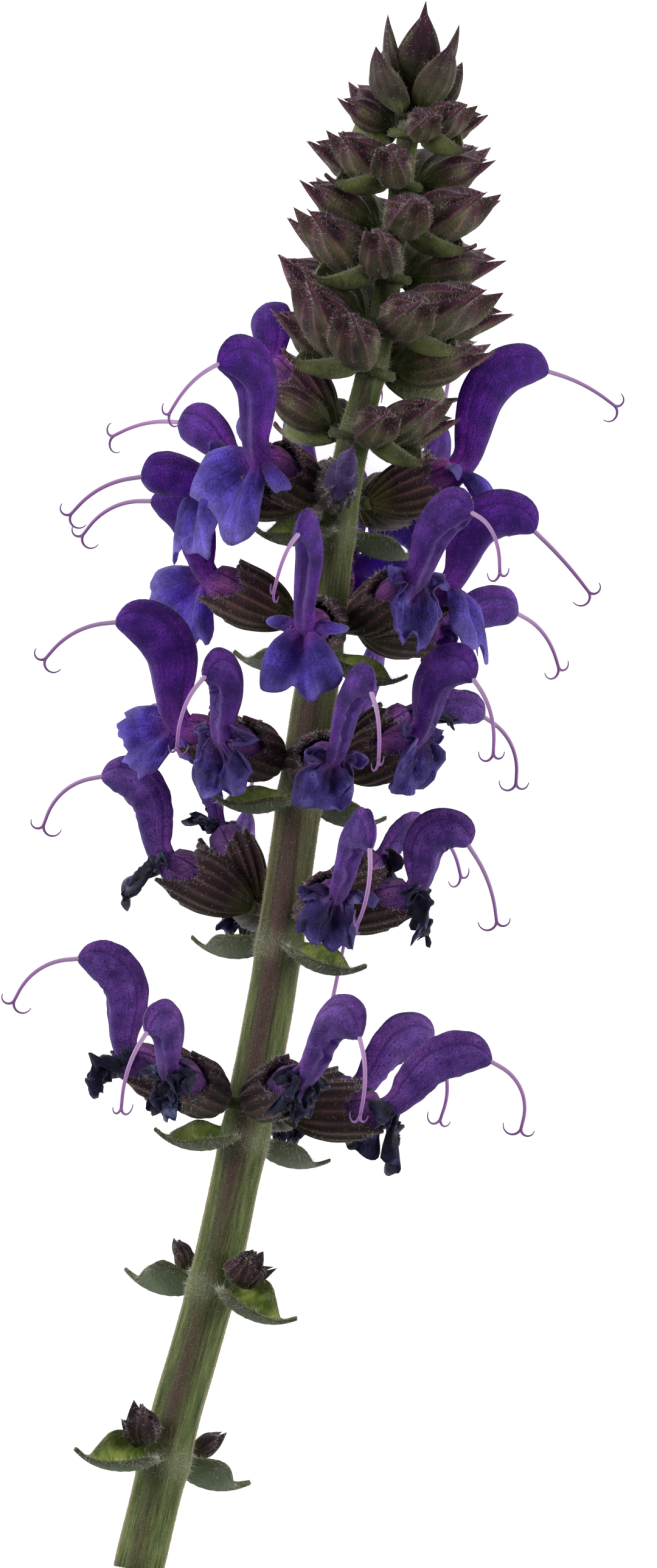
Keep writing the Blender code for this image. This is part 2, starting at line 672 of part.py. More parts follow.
def build():
    green = finish("stem_green", (0.12, 0.17, 0.05), 0.6)
    brown = finish("calyx_brown", (0.05, 0.022, 0.032), 0.6)
    violet = finish("petal_violet", (0.09, 0.04, 0.25), 0.5)
    maroon = finish("bud_maroon", (0.055, 0.02, 0.03), 0.6)

    stem = [stem_shape()]
    for whorl in range(1, 8):
        y = WHORL_HEIGHTS[whorl - 1]
        for azimuth in CYME_AZIMUTHS[(whorl + 1) % 2]:
            start = (stem_half(y) * 0.6, 0.3)
            flowering = whorl > BARE_WHORLS
            sizes = (BRACT_LENGTH, BRACT_HALF_WIDTH, BRACT_CUPS[flowering], BRACT_SPINE)
            roll = BRACT_ROLLS[flowering] if abs(azimuth) < 90 else 0
            stem.append(boat(Seat(y, azimuth), start, BRACT_HEADINGS, *sizes, BRACT_COLUMNS, roll))
    fused("leafy_stem", stem, green)

    for (whorl, side), pieces in REMNANTS.items():
        fused(f"old_calyces_{whorl}_{side}", remnant_shapes(whorl, pieces), brown)

    flowers = BLOOMS + CLOSED_BLOOMS
    for whorl in range(3, 8):
        for azimuth in CYME_AZIMUTHS[(whorl + 1) % 2]:
            own = [b for b in flowers if b.whorl == whorl and cyme_of(b) == azimuth]
            shapes = [pad_shape(whorl, [foot_azimuth(bloom) for bloom in own])]
            shapes += [calyx_shape(bloom) for bloom in own]
            fused(f"calyces_{whorl}_{'left' if azimuth < 0 else 'right'}", shapes, brown)

    for bloom in BLOOMS:
        seat, path = corolla_path(bloom)
        shapes = [hood_shape(bloom, seat, path), lip_shape(bloom, seat, path)]
        shapes += style_shapes(bloom, seat, path)
        fused(f"bloom_{bloom.whorl}_{bloom.place}", shapes, violet)
    for bloom in CLOSED_BLOOMS:
        seat, path = corolla_path(bloom)
        fused(f"bloom_{bloom.whorl}_{bloom.place}", [hood_shape(bloom, seat, path)], violet)

    for whorl in BUD_REACHES:
        fused(f"bud_whorl_{whorl}", bud_whorl_shapes(whorl), maroon)
    fused("crown", crown_shapes(), maroon)
    centre(bpy.data.objects)


for leftover in list(bpy.data.objects):
    bpy.data.objects.remove(leftover)
build()
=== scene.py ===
"""The looks of a cut flowering spike of perennial salvia, lying on a pale surface and seen from above.

+Y runs up the spike, +X to its right and +Z towards the camera. Shapes are worked out in millimetres
in the stem's own numbers, then moved under the middle of the spike's box and made in metres.
An azimuth is an angle round the stem: 0 faces the camera, 90 faces right. In the plane of a flower,
a heading of 0 points straight out from the stem and 90 points up along it.
"""

from collections import namedtuple

import bpy
import numpy as np
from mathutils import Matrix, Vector


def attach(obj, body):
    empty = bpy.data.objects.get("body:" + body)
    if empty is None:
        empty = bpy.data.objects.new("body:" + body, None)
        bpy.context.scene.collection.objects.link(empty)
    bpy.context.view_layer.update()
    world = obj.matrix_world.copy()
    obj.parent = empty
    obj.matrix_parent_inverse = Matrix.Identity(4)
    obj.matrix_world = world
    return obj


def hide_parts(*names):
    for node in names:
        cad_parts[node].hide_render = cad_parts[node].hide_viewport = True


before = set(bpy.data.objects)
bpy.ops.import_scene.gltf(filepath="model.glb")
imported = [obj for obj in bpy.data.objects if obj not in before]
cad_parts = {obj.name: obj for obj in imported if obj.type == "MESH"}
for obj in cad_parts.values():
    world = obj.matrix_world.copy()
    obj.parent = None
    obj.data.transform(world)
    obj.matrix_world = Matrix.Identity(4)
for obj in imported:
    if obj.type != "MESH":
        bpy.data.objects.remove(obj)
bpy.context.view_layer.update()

MM = 0.001
BOX_MIDDLE = (-0.810, -0.253)  # of the spike's box, in the stem's own numbers
FLOOR_LIFT = 0.15  # what would reach lower is pressed flat on the surface
AXIS_HEIGHT = 14.3  # the stem's middle above the surface

# Light: the sky near the horizon and overhead, what the surface itself sheds, and for each lamp its place
# in metres and its watts
SKY = (0.8, 0.2)
FLOOR_GLOW = 0.75
LAMPS = {"light_left": ((-0.3, 0.12, 0.2), 0.9), "light_right": ((0.32, 0.02, 0.16), 0.7)}
LAMP_WIDTH = 0.2
BUMP = 0.00012  # depth of the finishes' relief, in metres

# The height of the photo's frame, in its own pixels, and how many of them make a millimetre
PHOTO_HEIGHT = 2576
PIXELS_PER_MM = 24.0
LENS = 300.0
SENSOR_HEIGHT = 36.0

# The stem
STEM_ROUTE = (
    (-13.0, -53.7),
    (-10.4, -43.0),
    (-8.1, -34.9),
    (-6.2, -26.3),
    (-3.6, -12.6),
    (-2.1, -2.0),
    (-0.4, 9.5),
    (1.4, 22.0),
    (3.6, 31.2),
    (4.8, 40.0),
    (5.6, 45.3),
)
CROWN_LEAN = 0.13  # of the tip beyond the stem's end, to the right for each millimetre up
STEM_HALF_WIDTHS = (
    (-53.7, 1.56),
    (-20.0, 1.48),
    (5.0, 1.36),
    (16.0, 1.15),
    (27.0, 0.9),
    (45.3, 0.6),
)
STEM_EDGE = (1.025, 0.075)  # its mean half width beside the named one, and how far its corners stand out
STEM_GRID = (240, 56)  # rings along it, and corners of each
STREAK = (14, 27)  # degrees from the front round to its brown stripe on the left, and the stripe's breadth
WHORL_HEIGHTS = (-46.7, -34.9, -24.7, -11.5, -1.5, 8.2, 16.8, 23.7, 28.2, 31.2, 34.6, 37.6, 41.0, 44.4)
CYME_AZIMUTHS = ((-50, 130), (50, -130))  # of odd and of even whorls
SEAT_RISE = (2.7, 0.4)  # from bracts up to the foot of open calyces, and to a bud whorl's

# Bracts of the leafy stem
BRACT_LENGTH = 5.6
BRACT_HALF_WIDTH = 2.0
BRACT_SPINE = 1.8
BRACT_CUPS = (1.9, 1.2)  # in bare axils and under flowers
BRACT_ROLLS = (20, 6)  # of the front ones, likewise, which lifts the margin nearer the surface
BRACT_HEADINGS = (-32, 28)
BRACT_STATIONS = (0.0, 0.19, 0.45, 0.67, 0.78, 1.0)
BRACT_WIDTHS = (0.45, 0.95, 0.95, 0.5, 0.17, 0.03)  # of its greatest half width, at its stations
LEAF = 0.22  # thickness of a bract
BRACT_GRIDS = ((30, 19), (22, 13))  # rows and columns of the leafy stem's bracts, and of the bud whorls'

# Calyx and corolla
CALYX_LENGTH = 4.9
CALYX_MOUTH = (2.1, 1.75)  # half its depth and half its width
CALYX_WALL = 0.24
SNUG = 0.24  # by how much the mouth round a shut bud is narrower
CALYX_RIBS = 16
CALYX_STATIONS = (0.0, 0.2, 0.6, 1.0)
CALYX_DEPTHS = (0.16, 0.54, 0.92, 0.9)
CALYX_WIDTHS = (0.16, 0.56, 0.92, 0.82)
STEM_CORNER = 1.1  # what a cyme's foot clears, beside the stem's half width
PAD_HALF = 0.5
GAP = 0.3
THROAT = 1.9  # how far past the calyx the corolla divides into hood and lip
FOOT_SPREAD = 0.45  # of the angle between a calyx's mouth and the middle of its cyme
TUBE = (0.9, 0.72)  # half depth and half width of the corolla inside the calyx
HOOD_DEPTH = 3.2
HOOD_WIDTH = 1.8
HOOD_STATIONS = (0.0, 0.12, 0.3, 0.5, 0.7, 0.86, 1.0)
HOOD_DEPTHS = (0.52, 0.56, 0.78, 0.96, 1.0, 0.84, 0.5)
HOOD_WIDTHS = (0.84, 0.8, 0.88, 1.0, 0.92, 0.76, 0.5)
HOOD_ROUNDING = 0.16  # share of the hood over which its tip rounds off
HOOD_CORNERS = 36
HOOD_DRIFT = 0.45  # how far a hood's tip strays to one side, at most
TUBE_STATIONS = (0, 0.25, 0.53, 0.8, 1.0)  # from inside the calyx to the throat
TUBE_SWELL = (0.75, 1.2, 1.5, 1.5, 1.2)
PETAL = 0.13  # thickness of a lip
STYLE_RADIUS = 0.15
STYLE_CORNERS = 7
STYLE_LENGTH = 5.6
FORK_LENGTH = 1.7
SURFACE_CLEARANCE = (0.7, 0.4)  # above the surface, of a style's middle and of its branches

# Lips: how far their margin reaches round the throat, by angle, how far they cup, how far their margin
# curls back, and how ragged it is
LIP_STEP = 0.45  # from the place where the hood bends away to the middle of the lip's root
Lip = namedtuple("Lip", "angles reaches cup curl fray")
LIPS = {
    "fresh": Lip(
        (-112, -100, -84, -70, -62, -50, -34, -14, 0, 14, 34, 50, 62, 70, 84, 100, 112),
        (1.2, 2.9, 2.8, 1.2, 1.7, 3.9, 4.7, 4.6, 4.0, 4.6, 4.7, 3.9, 1.7, 1.2, 2.8, 2.9, 1.2),
        0.09,
        0.45,
        0.06,
    ),
    "cupped": Lip(
        (-108, -94, -78, -64, -50, -34, -12, 0, 12, 34, 50, 64, 78, 94, 108),
        (1.0, 2.3, 2.1, 1.2, 2.7, 3.4, 3.6, 3.3, 3.6, 3.4, 2.7, 1.2, 2.1, 2.3, 1.0),
        0.2,
        -0.75,
        0.05,
    ),
    "withered": Lip(
        (-100, -84, -64, -46, -31, -16, 0, 16, 31, 46, 64, 84, 100),
        (0.8, 2.0, 1.1, 1.4, 2.6, 3.3, 3.1, 3.4, 2.5, 1.2, 1.0, 2.1, 0.8),
        0.13,
        0.2,
        0.2,
    ),
}
LIP_GRID = (18, 65)  # rows and columns
LIP_SHRINK = 4.5  # how much smaller a lip is for how far it has faded, while it is still fresh

# A bloom: the azimuth and rise of its calyx, the headings of its hood as it lifts off and at its tip,
# the hood's length, the flower's size beside the others, and its lip's kind. The lip has a heading of its
# own, faces this far round the stem from the calyx, and rolls about its own way out. Bend is how far the
# style turns.
Bloom = namedtuple(
    "Bloom", "whorl place azimuth rise lift drop length size lip lip_heading facing roll bend"
)
BLOOMS = (
    Bloom(3, "left", -82, 14, 84, -8, 8.9, 1.0, "withered", -30, 0, 0, -66),
    Bloom(3, "front_left", -36, 10, 70, -50, 6.6, 0.95, "withered", -80, 0, 0, -50),
    Bloom(3, "front_right", 34, 22, 72, -45, 8.6, 1.0, "withered", -80, 0, 0, -45),
    Bloom(3, "right", 88, 12, 60, -8, 8.9, 1.0, "withered", -45, 0, 0, -85),
    Bloom(3, "right_back", 130, 18, 66, -25, 8.2, 1.0, "withered", -60, 0, 0, -75),
    Bloom(3, "back", 168, 8, 30, 88, 8.4, 1.0, "withered", -60, 0, 0, 0),
    Bloom(4, "left", -97, 20, 74, -10, 8.4, 1.0, "withered", -30, 0, 0, -68),
    Bloom(4, "left_back", -133, 48, 60, 35, 5.4, 0.6, "withered", 10, 0, 0, 10),
    Bloom(4, "front_right", 17, 14, 72, -50, 8.8, 0.95, "cupped", -70, 0, 0, -80),
    Bloom(4, "right", 84, 22, 92, -45, 7.2, 0.95, "withered", -50, 0, 0, -30),
    Bloom(4, "right_back", 138, 40, 44, 0, 5.6, 0.7, "withered", -50, 0, 0, -60),
    Bloom(4, "back", -168, 8, 30, 88, 8.4, 1.0, "withered", -60, 0, 0, 0),
    Bloom(5, "left", -84, 12, 82, -8, 9.8, 1.2, "fresh", -20, 0, 60, -50),
    Bloom(5, "front_left", -36, 8, 88, -35, 7.4, 1.0, "cupped", -72, 0, 0, -60),
    Bloom(5, "front_right", 21, 6, 78, -30, 9.2, 0.9, "cupped", -72, 0, 0, -45),
    Bloom(5, "right", 52, 26, 84, -35, 8.4, 1.0, "cupped", -62, 0, 0, -48),
    Bloom(5, "right_back", 112, 42, 14, -15, 5.8, 0.8, "withered", 10, 0, 0, -70),
    Bloom(5, "back", 166, 26, 62, 60, 7.8, 0.9, "cupped", -40, 0, 0, 0),
    Bloom(6, "left", -102, 18, 70, 0, 7.4, 0.96, "fresh", -48, 0, 80, -60),
    Bloom(6, "front", -17, -4, 84, -20, 10.2, 0.95, "fresh", -66, 0, 0, -50),
    Bloom(6, "right_front", 40, 30, 74, -8, 8.4, 1.05, "cupped", -55, 0, 0, -68),
    Bloom(6, "right", 86, 31, 78, -35, 9.2, 1.05, "fresh", -32, -10, 0, -10),
    Bloom(6, "right_back", 128, 6, 30, -10, 7.4, 0.95, "cupped", -50, 0, 0, -50),
    Bloom(6, "back", 165, 34, 80, 70, 7.8, 0.9, "fresh", -20, -75, 90, 0),
    Bloom(7, "left", -83, -4, 2, -12, 5.4, 1.05, "fresh", -50, 14, 0, -45),
    Bloom(7, "front_left", -42, 14, 84, -25, 10.0, 1.15, "fresh", -42, -50, 60, -35),
    Bloom(7, "left_back", -124, 12, 34, 0, 6.0, 1.0, "cupped", -40, 0, 0, -30),
    Bloom(7, "right", 112, 27, 86, -4, 11.4, 1.1, "fresh", -15, -25, 0, -22),
    Bloom(7, "right_back", 157, 6, 25, 88, 9.4, 1.0, "cupped", -40, 0, 0, 0),
    Bloom(7, "back", -158, 8, 28, 88, 9.0, 1.0, "cupped", -40, 0, 0, 0),
)
# Corollas that haven't opened: a closed bud and a young hood
CLOSED_BLOOMS = (
    Bloom(7, "front", 6, 12, 50, 76, 2.6, 0.85, None, 0, 0, 0, 0),
    Bloom(8, "left_back", -122, 30, 70, 60, 4.4, 1.0, None, 0, 0, 0, 0),
)
FLOWERS = BLOOMS + CLOSED_BLOOMS
# How far a corolla has faded, in the seventh whorl and for each whorl below it
AGES = {"fresh": (0.0, 0.06), "cupped": (0.22, 0.14), "withered": (1.0, 0.0), None: (0.15, 0.0)}
SHUT_AGE = 1.3  # of the closed bud in front, which is still grey with hairs

# What is left in the axils of the two lowest whorls: azimuth, rise, length and half width of a calyx
Remnant = namedtuple("Remnant", "azimuth rise length half_width")
REMNANTS = {
    (1, "left"): (Remnant(-38, 52, 2.9, 1.1), Remnant(-48, 28, 2.4, 0.7)),
    (1, "right"): (Remnant(128, 40, 2.4, 0.75),),
    (2, "left"): (Remnant(-128, 44, 2.2, 0.75),),
    (2, "right"): (Remnant(36, 50, 2.8, 1.1), Remnant(48, 28, 2.6, 0.7)),
}

# The bud whorls: how far their buds reach from the stem's middle, and half a bud's depth and width
BUD_REACHES = {8: 7.2, 9: 8.1, 10: 8.3, 11: 7.6, 12: 7.3, 13: 6.6, 14: 5.5}
FIRST_BUD_WHORL = min(BUD_REACHES)
BUD_SPREAD = 35  # from one bud of a cyme to the next
BUD_ROOT = 0.4  # from what clears the stem to a bud's foot
BUD_HALF = (0.2, 0.23)  # of its length
BUD_PLUMP = 0.35  # what both halves have besides
SIDE_BUD = 0.88  # the length of a cyme's outer buds beside the middle one's
BUD_BROAD = 1.25  # the width of the middle bud beside the others'
BUD_RISE = 20
MIDDLE_RISE = 8  # what the middle bud has besides
FRONT_RISE = -4.0  # what a bud that points at the camera has besides
BUD_JITTER = (6.0, 7.0, 0.07)  # at most, of a bud's azimuth, rise and size
BUD_BRACT = 0.85  # a bud whorl's bract beside its buds' reach
BUD_BRACT_HALF = 0.43  # of the bract's length
BUD_BRACT_CUP = 1.5
BUD_BRACT_SPINE = 1.2
BUD_BRACT_HEADINGS = (-26, 30)
# Half depth and half width along a closed calyx, of its greatest, and along a pointed scale
BUD_STATIONS = (0.0, 0.14, 0.34, 0.6, 0.8, 0.93, 1.0)
BUD_DEPTHS = (0.1, 0.62, 0.95, 1.0, 0.78, 0.4, 0.07)
BUD_WIDTHS = (0.1, 0.56, 0.86, 1.0, 0.95, 0.72, 0.5)
SCALE_STATIONS = (0.0, 0.12, 0.35, 0.72, 0.9, 1.0)
SCALE_SHARES = (0.1, 0.62, 1.0, 0.66, 0.26, 0.02)
# Of a closed calyx and of a scale: how far it arches, how broad and how bright its pale seams are, and
# how bright its ribs are
CALYX_LOOK = (0.05, 0.3, 1.0, 1.0)
SCALE_LOOK = (0.12, 0.5, 0.7, 0.4)
BUD_RINGS = 20
BUD_RIBS = 11
REMNANT_RISE = 1.2  # of the foot of withered calyces, from their bracts
BARE_WHORLS = 2  # whose flowers have dropped
COLLAR = (0.5, 1.0)  # wall and height of the ring that carries a bud whorl
COLLAR_GRID = (10, 30)  # sides of its section, and places round it

# The crown of bracts at the tip: azimuth, height of its foot, length, rise and half width
Scale = namedtuple("Scale", "azimuth height length rise half_width")
CROWN = (
    Scale(-50, 45.7, 5.2, 48, 1.7),
    Scale(130, 45.7, 5.2, 48, 1.7),
    Scale(40, 46.2, 5.2, 56, 1.7),
    Scale(-140, 46.2, 5.2, 56, 1.7),
    Scale(-80, 47.2, 5.4, 66, 1.4),
    Scale(100, 47.2, 5.4, 66, 1.4),
    Scale(5, 47.6, 5.2, 72, 1.4),
    Scale(185, 47.6, 5.2, 72, 1.4),
)
CROWN_FOOT = 45.6
CROWN_TIP = 53.6
CROWN_CORE = ((0.0, 2.0, 4.5), (1.15, 1.3, 0.9, 0.02))  # rings above its foot, radii there and at its tip

# What a piece's own count is added to, to seed its small waves
SEEDS = {"stem": 5, "withered": 70, "hood": 300, "lip": 500, "crown": 800, "unopened": 900}

# What the finishes and hairs read at a point
VALUES = ("along", "across", "edge", "age", "lip", "hair", "turn")


def unit(vector):
    return vector / np.linalg.norm(vector)


def hump(x, middle, width):
    """1 at the middle, falling off smoothly on both sides."""
    return np.exp(-(((x - middle) / width) ** 2))


def tooth(x, middle, half):
    """1 at the middle, falling straight to 0 at half on both sides."""
    return np.clip(1 - np.abs(x - middle) / half, 0, 1)


def fade_in(x, start, span):
    """0 up to the start, then straight up to 1 over the span."""
    return np.clip((x - start) / span, 0, 1)


def round_turns(count):
    """Even angles round a circle."""
    return np.arange(count) * 2 * np.pi / count


def from_top(turns):
    """How many degrees an angle lies from the top, either way round."""
    return np.abs(np.degrees((turns + np.pi) % (2 * np.pi) - np.pi))


def between(azimuth, other):
    """The angle from the other azimuth to the first, from -180 to 180."""
    return (azimuth - other + 180) % 360 - 180


def moved(amounts, way):
    """Steps of the named amounts along a way, or along each ring's own."""
    return np.asarray(amounts)[..., None] * way


def smooth(x, xs, ys):
    """A smooth curve through the named stations."""
    xs, ys = np.array(xs, float), np.array(ys, float)
    slopes = np.gradient(ys, xs)
    x = np.clip(x, xs[0], xs[-1])
    k = np.clip(np.searchsorted(xs, x) - 1, 0, len(xs) - 2)
    span = xs[k + 1] - xs[k]
    t = (x - xs[k]) / span
    start = (2 * t**3 - 3 * t**2 + 1) * ys[k] + (t**3 - 2 * t**2 + t) * span * slopes[k]
    return start + (3 * t**2 - 2 * t**3) * ys[k + 1] + (t**3 - t**2) * span * slopes[k + 1]


def stem_x(y):
    """How far right the stem's middle lies at height y."""
    ends, heights = np.transpose(STEM_ROUTE)
    beyond = max(y - heights[-1], 0.0)
    return float(smooth(y, heights, ends)) + CROWN_LEAN * beyond


def stem_half(y):
    """Half the stem's width at height y."""
    heights, halves = np.transpose(STEM_HALF_WIDTHS)
    return float(np.interp(y, heights, halves))


class Seat:
    """A place on the stem: its middle there, and the ways out, along and across at an azimuth."""

    def __init__(self, y, azimuth):
        slope = stem_x(y + 0.5) - stem_x(y - 0.5)
        self.middle = np.array([stem_x(y), y, AXIS_HEIGHT])
        self.along = unit(np.array([slope, 1.0, 0.0]))
        across = unit(np.array([1.0, -slope, 0.0]))
        turn = np.radians(azimuth)
        self.out = np.cos(turn) * np.array([0.0, 0.0, 1.0]) + np.sin(turn) * across
        self.side = np.cross(self.out, self.along)

    def at(self, out, along, side=0.0):
        return self.middle + out * self.out + along * self.along + side * self.side

    def way(self, heading):
        """The direction at a heading in the plane of a flower."""
        turn = np.radians(heading)
        return np.multiply.outer(np.cos(turn), self.out) + np.multiply.outer(np.sin(turn), self.along)


def is_inside_out(points, faces):
    """Whether a closed body's faces point inwards, which makes its volume negative."""
    thirds = np.array([(face[0], *pair) for face in faces for pair in zip(face[1:], face[2:])])
    a, b, c = np.moveaxis((points - points.mean(axis=0))[thirds], 1, 0)
    return np.sum(a * np.cross(b, c)) < 0


class Shell:
    """Closed surfaces gathered for one piece, with the values that its finish reads."""

    def __init__(self):
        self.points, self.faces, self.values = [], [], []
        self.count = 0

    def add(self, points, faces, values):
        """One closed body. Values are numbers or arrays, for the first of VALUES: the others are 0."""
        points = np.asarray(points, float).reshape(-1, 3)
        if is_inside_out(points, faces):
            faces = [face[::-1] for face in faces]
        values = [*values, *[0.0] * (len(VALUES) - len(values))]
        filled = [np.broadcast_to(np.asarray(value, float).reshape(-1), len(points)) for value in values]
        self.points.append(points)
        self.faces += [tuple(self.count + corner for corner in face) for face in faces]
        self.values.append(np.stack(filled, axis=1))
        self.count += len(points)

    def tube(self, rings, values):
        """A closed body over rings of corners, shut at both ends by a fan."""
        rings = np.asarray(rings, float)
        count, corners = rings.shape[:2]
        points = np.concatenate([rings.reshape(-1, 3), [rings[0].mean(axis=0), rings[-1].mean(axis=0)]])
        grown = []
        for value in values:
            value = np.broadcast_to(np.asarray(value, float), (count, corners))
            grown.append(np.concatenate([value.reshape(-1), [value[0].mean(), value[-1].mean()]]))
        first, last = count * corners, count * corners + 1
        faces = []
        for i in range(count - 1):
            for j in range(corners):
                a, b = i * corners + j, i * corners + (j + 1) % corners
                faces.append((a, b, b + corners, a + corners))
        top = (count - 1) * corners
        for j in range(corners):
            k = (j + 1) % corners
            faces.append((k, j, first))
            faces.append((top + j, top + k, last))
        self.add(points, faces, grown)

    def sheet(self, grid, thickness, values):
        """A closed sheet of the named thickness along a grid of points."""
        grid = np.asarray(grid, float)
        normals = np.cross(np.gradient(grid, axis=0), np.gradient(grid, axis=1))
        normals /= np.maximum(np.linalg.norm(normals, axis=2, keepdims=True), 1e-9)
        rows, columns = grid.shape[:2]
        half = normals * np.asarray(thickness).reshape(-1, 1, 1) / 2
        under = rows * columns
        faces = []
        for i in range(rows - 1):
            for j in range(columns - 1):
                a = i * columns + j
                faces.append((a, a + 1, a + 1 + columns, a + columns))
                faces.append((under + a, under + a + columns, under + a + columns + 1, under + a + 1))
        rim = list(range(columns))
        rim += [i * columns + columns - 1 for i in range(1, rows)]
        rim += [(rows - 1) * columns + j for j in range(columns - 2, -1, -1)]
        rim += [i * columns for i in range(rows - 2, 0, -1)]
        for a, b in zip(rim, rim[1:] + rim[:1]):
            faces.append((b, a, a + under, b + under))
        both = [np.broadcast_to(np.asarray(value, float), (rows, columns)).reshape(-1) for value in values]
        points = np.concatenate([(grid + half).reshape(-1, 3), (grid - half).reshape(-1, 3)])
        self.add(points, faces, [np.concatenate([value, value]) for value in both])


def object_of(name, data):
    """A new object in the scene, which holds the data."""
    made = bpy.data.objects.new(name, data)
    bpy.context.scene.collection.objects.link(made)
    return made


# A finish, and the material slot of the record that it stands for
Look = namedtuple("Look", "finish slot")


def place(name, mesh, look, *nodes):
    """The mesh as a finished piece, which stands for the nodes named."""
    mesh.materials.append(look.finish)
    piece = object_of(name, mesh)
    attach(piece, "root")
    if nodes:
        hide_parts(*nodes)
    return piece


def piece_of(name, shell, look, node):
    """A piece from its gathered surfaces, in metres and kept above the surface it lies on."""
    points = np.concatenate(shell.points)
    pressed = FLOOR_LIFT * (0.3 + 0.7 * np.exp((points[:, 2] - FLOOR_LIFT) / 3))
    points[:, 2] = np.where(points[:, 2] < FLOOR_LIFT, pressed, points[:, 2])
    points = (points - np.array([*BOX_MIDDLE, 0.0])) * MM
    mesh = bpy.data.meshes.new(name)
    mesh.from_pydata(points.tolist(), [], shell.faces)
    mesh.polygons.foreach_set("use_smooth", np.ones(len(mesh.polygons), bool))
    values = np.concatenate(shell.values)
    for k, value in enumerate(VALUES):
        attribute = mesh.attributes.new(value, "FLOAT", "POINT")
        attribute.data.foreach_set("value", values[:, k].astype(np.float32))
    return place(name, mesh, look, node)


def follow(start, ways, length):
    """Points of equal steps from a start along the named directions."""
    steps = np.asarray(ways) * (length / len(ways))
    return np.concatenate([[start], start + np.cumsum(steps, axis=0)])


def fine(values, steps):
    """The headings of a coarse path, at the middles of finer steps."""
    middles = (np.arange(len(values)) + 0.5) / len(values)
    return np.interp((np.arange(steps) + 0.5) / steps, middles, values)


def frames(points, side):
    """The way, up and side at each point of a path."""
    ways = np.gradient(np.asarray(points), axis=0)
    ways /= np.linalg.norm(ways, axis=1, keepdims=True)
    sides = side - ways * (ways @ side)[:, None]
    sides /= np.linalg.norm(sides, axis=1, keepdims=True)
    return ways, np.cross(sides, ways), sides


def round_body(points, side, radii, corners):
    """Rings of a round body along a path."""
    _, ups, sides = frames(points, side)
    turns = round_turns(corners)
    radii = np.broadcast_to(np.asarray(radii, float), len(points))[:, None, None]
    lifted = moved(np.sin(turns), ups[:, None, :]) + moved(np.cos(turns), sides[:, None, :])
    return np.asarray(points)[:, None, :] + radii * lifted


def keep_off_surface(path, clearance):
    """The same steps, laid along the surface where they would pass into it."""
    kept = [path[0]]
    for a, b in zip(path, path[1:]):
        step = b - a
        length = np.linalg.norm(step)
        if kept[-1][2] + step[2] < clearance:
            step = np.array([step[0], step[1], clearance - kept[-1][2]])
            if np.hypot(step[0], step[1]) < 0.3 * length:
                step[0] += length
            step = unit(step) * length
        kept.append(kept[-1] + step)
    return np.array(kept)


def cymes(whorl):
    """The azimuths of a whorl's two cymes."""
    return CYME_AZIMUTHS[(whorl + 1) % 2]


def calyx_height(whorl):
    """Where a whorl's calyces spring from the stem."""
    return WHORL_HEIGHTS[whorl - 1] + SEAT_RISE[whorl >= FIRST_BUD_WHORL]


def beside_stem(y, more):
    """How far from the stem's middle a piece lies that clears it at height y, and more."""
    return stem_half(y) * STEM_CORNER + GAP + more


def cyme_of(bloom):
    """The azimuth of the nearer of its whorl's two cymes."""
    return min(cymes(bloom.whorl), key=lambda side: abs(between(bloom.azimuth, side)))


def is_shut(bloom):
    """Whether the corolla is still a pointed bud."""
    return bloom.lip is None and bloom.place == "front"


def age_of(bloom):
    """How far the corolla has faded, from 0 to 1, or more for the shut bud."""
    start, step = AGES[bloom.lip]
    newest = FIRST_BUD_WHORL - 1
    return SHUT_AGE if is_shut(bloom) else start + step * (newest - min(bloom.whorl, newest))


def foot_azimuth(bloom):
    """Where a calyx springs from, nearer the middle of its cyme than its mouth is."""
    cyme = cyme_of(bloom)
    return cyme + FOOT_SPREAD * between(bloom.azimuth, cyme)


def calyx_root(bloom):
    """The seat in the flower's plane, and the foot and the way of its calyx."""
    y = calyx_height(bloom.whorl)
    seat = Seat(y, bloom.azimuth)
    foot = Seat(y, foot_azimuth(bloom)).at(beside_stem(y, PAD_HALF), 0.0)
    return seat, foot, seat.way(bloom.rise)


def corolla_path(bloom, steps=30):
    """The middle of the corolla: its foot, its mouth, and on to the hood's tip."""
    seat, foot, way = calyx_root(bloom)
    start = foot + (0.5 * CALYX_LENGTH + GAP) * way
    mouth = foot + (CALYX_LENGTH + THROAT) * way
    headings = np.interp(np.linspace(0, 1, 8), (0, 0.4, 1), (bloom.lift, bloom.lift, bloom.drop))
    headings[0] = (bloom.rise + bloom.lift) / 2
    hood = follow(mouth, seat.way(fine(headings, steps)), bloom.length)
    draw = np.random.default_rng(bloom.whorl * 1000 + bloom.azimuth % 360)
    drift = draw.uniform(-HOOD_DRIFT, HOOD_DRIFT) * np.linspace(0, 1, len(hood)) ** 2
    return seat, start, mouth, hood + np.outer(drift, seat.side)


def waves(seed, count, turns):
    """A smooth made-up wave: a function of two coordinates between -1 and 1 or so."""
    draw = np.random.default_rng(seed)
    ways = draw.normal(size=(count, 2)) * turns
    phases = draw.uniform(0, 2 * np.pi, count)

    def wave(u, v):
        total = sum(np.sin(a * u + b * v + p) for (a, b), p in zip(ways, phases))
        return total / np.sqrt(count)

    return wave


